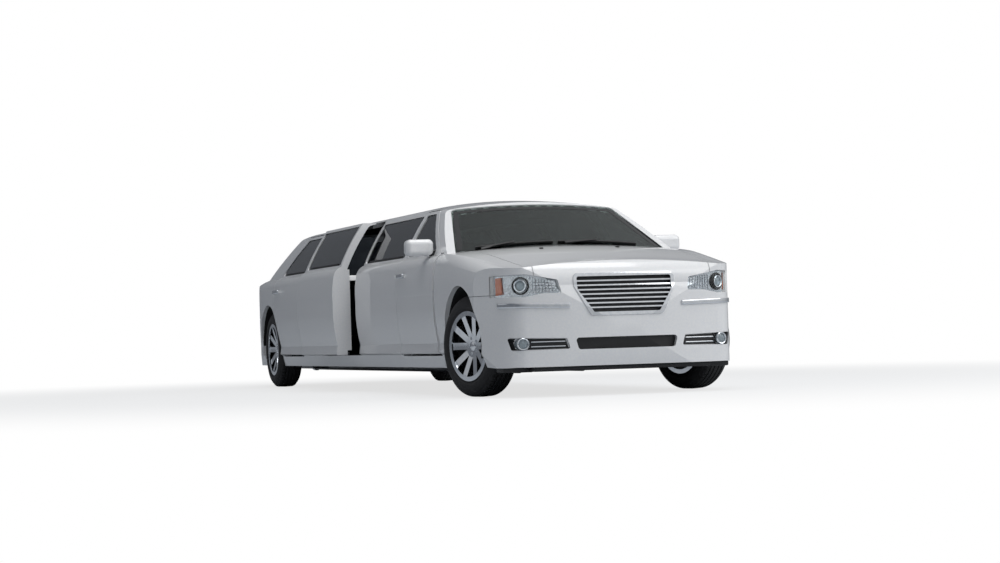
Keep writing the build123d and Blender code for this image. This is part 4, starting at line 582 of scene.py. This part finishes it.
# Columns: body, glass node, side, from and to along the car
BELTS = []
for hand in SIDES:
    BELTS += [(f"door_front_{hand}", f"door_glass_front_{hand}", hand, 1.765, 2.590),
              (f"door_rear_{hand}", f"door_glass_rear_{hand}", hand, -2.795, -1.900),
              ("body", "fixed_glass", hand, 0.425, 1.660), ("body", "fixed_glass", hand, -1.790, -1.035)]
BELTS += [("body", "fixed_glass", "left", -0.925, 0.315), ("body", "plug_door_glass", "right", -1.055, 0.185)]
for index, (body, node, hand, x_low, x_high) in enumerate(BELTS):
    side = SIDES[hand]
    corners = [(x, side * 1.3, z)
               for x, z in ((x_low, 1.0535), (x_high, 1.0535), (x_high, 1.069), (x_low, 1.069))]
    laid_strip(f"belt_strip_{index:02d}", corners, (12, 1), [node], (0, -side, 0), 0.3 * MM, -6 * MM,
               seal_rubber, body, 1.5 * MM)

# %% [markdown]
# ## Back of the car
# The back isn't in the photograph and keeps the usual form: a blank plate on the lid, a plated bar above it,
# a clear band in each red lamp, red reflectors low on the bumper and bright exhaust ends.

# %% Plate, bar, lamp bands and exhaust ends
BEHIND = (1, 0, 0)
# Back view corners as (y, z), the lamps' on the left side
LID_BAR = [(-0.40, 0.900), (0.40, 0.900), (0.40, 0.922), (-0.40, 0.922)]
REVERSE_BAND = [(0.712, 0.770), (0.850, 0.770), (0.850, 0.812), (0.712, 0.812)]
LOWER_REFLECTOR = [(0.52, 0.420), (0.74, 0.420), (0.74, 0.445), (0.52, 0.445)]


def at_back(corners, side):
    """Points behind the tail, on one side."""
    return [(-CLEAR_X, side * y, z) for y, z in corners]


spot = on_surface("trunk_lid", (-6, 0, 0.800), BEHIND).translation
bm = bmesh.new()
block(bm, (spot.x - 0.004, 0, 0.800), (0.006, 0.306, 0.152), 0.0018)
keep(bm, "blank_plate", blank_plate, "trunk_lid")
bm = bmesh.new()
for y in (-0.09, 0.09):
    turn(bm, [(0.0, 0.004), (0.005, 0.0035), (0.0075, 0.0015), (0.0075, -0.004)],
         Matrix.Translation((spot.x - 0.006, y, 0.855)) @ Matrix.Rotation(math.pi / 2, 4, "Z"), 16)
keep(bm, "plate_screws", chrome, "trunk_lid")
laid_strip("lid_bar", at_back(LID_BAR, 1), (24, 2), ["trunk_lid"], BEHIND, 1 * MM, -8 * MM, chrome, "trunk_lid",
           3 * MM)
for hand, side in SIDES.items():
    laid_strip(f"reverse_band_{hand}", at_back(REVERSE_BAND, side), (10, 2), ["tail_lamps"],
               BEHIND, 0.5 * MM, -3 * MM, lens_glass, "body", 1 * MM)
    laid_strip(f"lower_reflector_{hand}", at_back(LOWER_REFLECTOR, side), (10, 2), ["rear_bumper"],
               BEHIND, 0.5 * MM, -3 * MM, red_lens, "body", 1 * MM)
    bm = bmesh.new()
    turn(bm, [(0.0285, 0.0), (0.0285, 0.088), (0.034, 0.090), (0.036, 0.084), (0.036, 0.0)],
         Matrix.Translation((-4.205, side * 0.25, 0.170)) @ Matrix.Rotation(math.pi / 2, 4, "Z"), 40)
    keep(bm, f"exhaust_end_{hand}", chrome, "body")

# %% [markdown]
# ## Cabin
# The seats are foam under leather, so their hard-edged solids are replaced. A copy of each solid is remeshed
# into small even cells, smoothed until its edges crown, and its sewn channels are pressed in where such seats
# have seams. Cloth pressure could swell it too, but smoothing gives a full shape in less time.

# %% Seats
SEAM_WIDTH, SEAM_DEPTH = 0.012, 0.011


def upholster(node, name, cell, seams):
    """Remeshed, rounded and channelled copy of a seat's solid."""
    bm = bmesh.new()
    bm.from_mesh(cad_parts[node].data)
    bmesh.ops.remove_doubles(bm, verts=bm.verts, dist=0.01 * MM)
    mesh = bpy.data.meshes.new(name + "_rough")
    bm.to_mesh(mesh)
    bm.free()
    rough = bpy.data.objects.new(name + "_rough", mesh)
    bpy.context.collection.objects.link(rough)
    cells = rough.modifiers.new("even_cells", "REMESH")
    cells.mode, cells.voxel_size = "VOXEL", cell
    crown = rough.modifiers.new("crown", "SMOOTH")
    crown.factor, crown.iterations = 0.5, 14
    even = bpy.data.meshes.new_from_object(rough.evaluated_get(bpy.context.evaluated_depsgraph_get()))
    bpy.data.objects.remove(rough)
    bm = bmesh.new()
    bm.from_mesh(even)
    bm.normal_update()
    for vert in bm.verts:
        depth = max(math.exp(-(gap / SEAM_WIDTH) ** 2) for gap in seams(vert.co))
        vert.co = vert.co - vert.normal * SEAM_DEPTH * depth
    made = keep(bm, name, leather, "body", 60)
    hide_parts(node)
    return made


def front_seams(co):
    """Distances to the seams of a front seat: two bolster lines and cross channels."""
    across = abs(abs(co.y) - 0.39)
    return [abs(across - 0.150), abs((co.z * 0.8 + co.x) % 0.16 - 0.08) if across < 0.15 else 1.0]


def bench_seams(co):
    """Distances to the seams of the bench: a channel every seat's half width along it."""
    along = co.x if co.x > -2.0 else co.y
    return [abs(along % 0.26 - 0.13), abs(co.z - 0.455) if co.x > -2.0 else 1.0]


upholster("front_seats", "padded_front_seats", 0.013, front_seams)
upholster("bench_seat", "padded_bench", 0.016, bench_seams)

# %% [markdown]
# The floor is carpeted and the roof lined. Both are thin coverings, so they are laid straight onto the
# solid's inner faces. The bar gets a bright top, and the dashboard carries a screen and four air vents.

# %% Carpet, headliner and cabin trim
# Columns: from and to along the car, from and to across it
CARPETS = [(-2.05, 1.60, -0.825, -0.152), (-2.05, 1.60, 0.152, 0.388)]
bm = bmesh.new()
for x_low, x_high, y_low, y_high in CARPETS:
    block(bm, ((x_low + x_high) / 2, (y_low + y_high) / 2, 0.2975), (x_high - x_low, y_high - y_low, 0.011), 0.003)
for side in (1, -1):
    block(bm, (2.50, side * 0.49, 0.2975), (0.70, 0.66, 0.011), 0.003)
keep(bm, "cabin_carpet", carpet, "body")
laid_strip("headliner", [(-2.6, -0.50, 1.30), (2.10, -0.50, 1.30), (2.10, 0.50, 1.30), (-2.6, 0.50, 1.30)], (40, 8),
           ["roof"], (0, 0, 1), 1 * MM, -4 * MM, carpet, "body")
bm = bmesh.new()
block(bm, (0.98, -0.63, 0.866), (0.90, 0.27, 0.010), 0.003)
keep(bm, "bar_top", chrome, "body")
bm = bmesh.new()
block(bm, (2.548, 0.0, 0.865), (0.012, 0.26, 0.13), 0.004)
for y in (-0.60, -0.24, 0.24, 0.62):
    block(bm, (2.540, y, 0.885), (0.016, 0.13, 0.055), 0.006)
keep(bm, "dash_screen_and_vents", gloss_black, "body")

# %% [markdown]
# ## Stage, light and camera
# The car stands on a plain pale floor under soft light. The background is white to the camera and through the
# glass, and faintly so in reflections, by way of the light-path node, so it adds little light of its own to
# the paint. The key light stands ahead and to the car's left, which leaves the long right side in soft shade.

# %% Stage and light
bpy.context.scene.view_settings.view_transform = "Standard"
bm = bmesh.new()
bmesh.ops.create_grid(bm, x_segments=1, y_segments=1, size=60)
floor_mesh = bpy.data.meshes.new("studio_floor")
bm.to_mesh(floor_mesh)
bm.free()
floor = bpy.data.objects.new("studio_floor", floor_mesh)
bpy.context.collection.objects.link(floor)
floor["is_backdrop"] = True
floor_paint, shader = new_finish("studio_floor_paint", "#B9BDC2", 0.8)
place = add_node(floor_paint, "ShaderNodeTexCoord")
reach = add_node(floor_paint, "ShaderNodeVectorMath", operation="LENGTH", links={0: place.outputs["Object"]})
fade = add_node(floor_paint, "ShaderNodeMapRange",
                {"From Min": 3.0, "From Max": 9.0, "To Min": 0.72, "To Max": 1.0},
                {"Value": reach.outputs["Value"]}, interpolation_type="SMOOTHSTEP")
path = add_node(floor_paint, "ShaderNodeLightPath")
seen = add_node(floor_paint, "ShaderNodeMath", operation="MULTIPLY",
                links={0: path.outputs["Is Camera Ray"], 1: fade.outputs["Result"]})
glow = add_node(floor_paint, "ShaderNodeEmission", {"Color": colour("#FFFFFF"), "Strength": 1.0})
mixed = add_node(floor_paint, "ShaderNodeMixShader",
                 links={0: seen.outputs[0], 1: shader.outputs[0], 2: glow.outputs[0]})
surface_end = floor_paint.node_tree.nodes["Material Output"]
floor_paint.node_tree.links.new(mixed.outputs[0], surface_end.inputs["Surface"])
floor_mesh.materials.append(floor_paint)

world = bpy.data.worlds.new("studio")
bpy.context.scene.world = world
world.use_nodes = True
world.node_tree.nodes.clear()
path = add_node(world, "ShaderNodeLightPath")
direct = add_node(world, "ShaderNodeMath", operation="MAXIMUM",
                  links={0: path.outputs["Is Camera Ray"], 1: path.outputs["Is Transmission Ray"]})
MIRRORED_SHARE = 0.15
mirrored = add_node(world, "ShaderNodeMath", {1: MIRRORED_SHARE}, {0: path.outputs["Is Glossy Ray"]},
                    operation="MULTIPLY")
seen = add_node(world, "ShaderNodeMath", operation="MAXIMUM",
                links={0: direct.outputs[0], 1: mirrored.outputs[0]})
way = add_node(world, "ShaderNodeTexCoord")
facing = add_node(world, "ShaderNodeVectorMath", {1: (0.42, 0.46, 0.78)}, {0: way.outputs["Generated"]},
                  operation="DOT_PRODUCT")
sky = add_node(world, "ShaderNodeValToRGB", links={"Fac": facing.outputs["Value"]})
sky.color_ramp.elements[0].position, sky.color_ramp.elements[1].position = 0.0, 0.8
sky.color_ramp.elements[0].color, sky.color_ramp.elements[1].color = colour("#2C3A4C"), colour("#F7F9FB")
light = add_node(world, "ShaderNodeBackground", {"Strength": 0.7}, {"Color": sky.outputs["Color"]})
white = add_node(world, "ShaderNodeBackground", {"Color": colour("#FFFFFF"), "Strength": 1.0})
mixed = add_node(world, "ShaderNodeMixShader",
                 links={0: seen.outputs[0], 1: light.outputs[0], 2: white.outputs[0]})
add_node(world, "ShaderNodeOutputWorld", links={"Surface": mixed.outputs[0]})

# Columns: place, aim, size across, power in watts
SOFT_BOXES = {"key": ((9.5, 7.5, 6.5), (2.5, 0.0, 0.6), 8.0, 400),
              "side_fill": ((-1.0, -9.0, 5.5), (0.0, 0.0, 0.7), 9.0, 60),
              "top": ((3.6, 0.0, 9.0), (1.6, 0.0, 0.0), 6.0, 380)}
for name, (spot, aim, size, watts) in SOFT_BOXES.items():
    lamp = bpy.data.lights.new(f"soft_box_{name}", "AREA")
    lamp.energy, lamp.size, lamp.shape = watts, size, "SQUARE"
    holder = bpy.data.objects.new(f"soft_box_{name}", lamp)
    bpy.context.collection.objects.link(holder)
    holder.location = spot
    holder.rotation_euler = (Vector(aim) - Vector(spot)).to_track_quat("-Z", "Y").to_euler()
    print("light", name, watts, "W")

# %% [markdown]
# The camera stands low, ahead and to the right of the car, with a long lens. Its place and turn were found by
# matching points of the car to the photograph, so they are written as plain numbers.

# %% Camera
EYE = Vector((20.0167, -5.7395, 0.42664))
YAW, PITCH, ROLL = 2.843194, 0.0221452, -0.0309382
look = Vector((math.cos(PITCH) * math.cos(YAW), math.cos(PITCH) * math.sin(YAW), math.sin(PITCH)))
right = look.cross(Vector((0, 0, 1))).normalized()
up = right.cross(look)
right, up = (math.cos(ROLL) * right + math.sin(ROLL) * up, -math.sin(ROLL) * right + math.cos(ROLL) * up)
lens = bpy.data.cameras.new("photo_camera")
lens.sensor_width, lens.lens = 36.0, 88.106
camera = bpy.data.objects.new("photo_camera", lens)
bpy.context.collection.objects.link(camera)
turned = Matrix((right, up, -look)).transposed()
camera.matrix_world = Matrix.Translation(EYE) @ turned.to_4x4()
bpy.context.scene.camera = camera
print("camera", [round(v, 3) for v in EYE])

# %% Size of the dressed car
low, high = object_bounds()
print("dressed box", [round(v, 3) for v in low], [round(v, 3) for v in high])
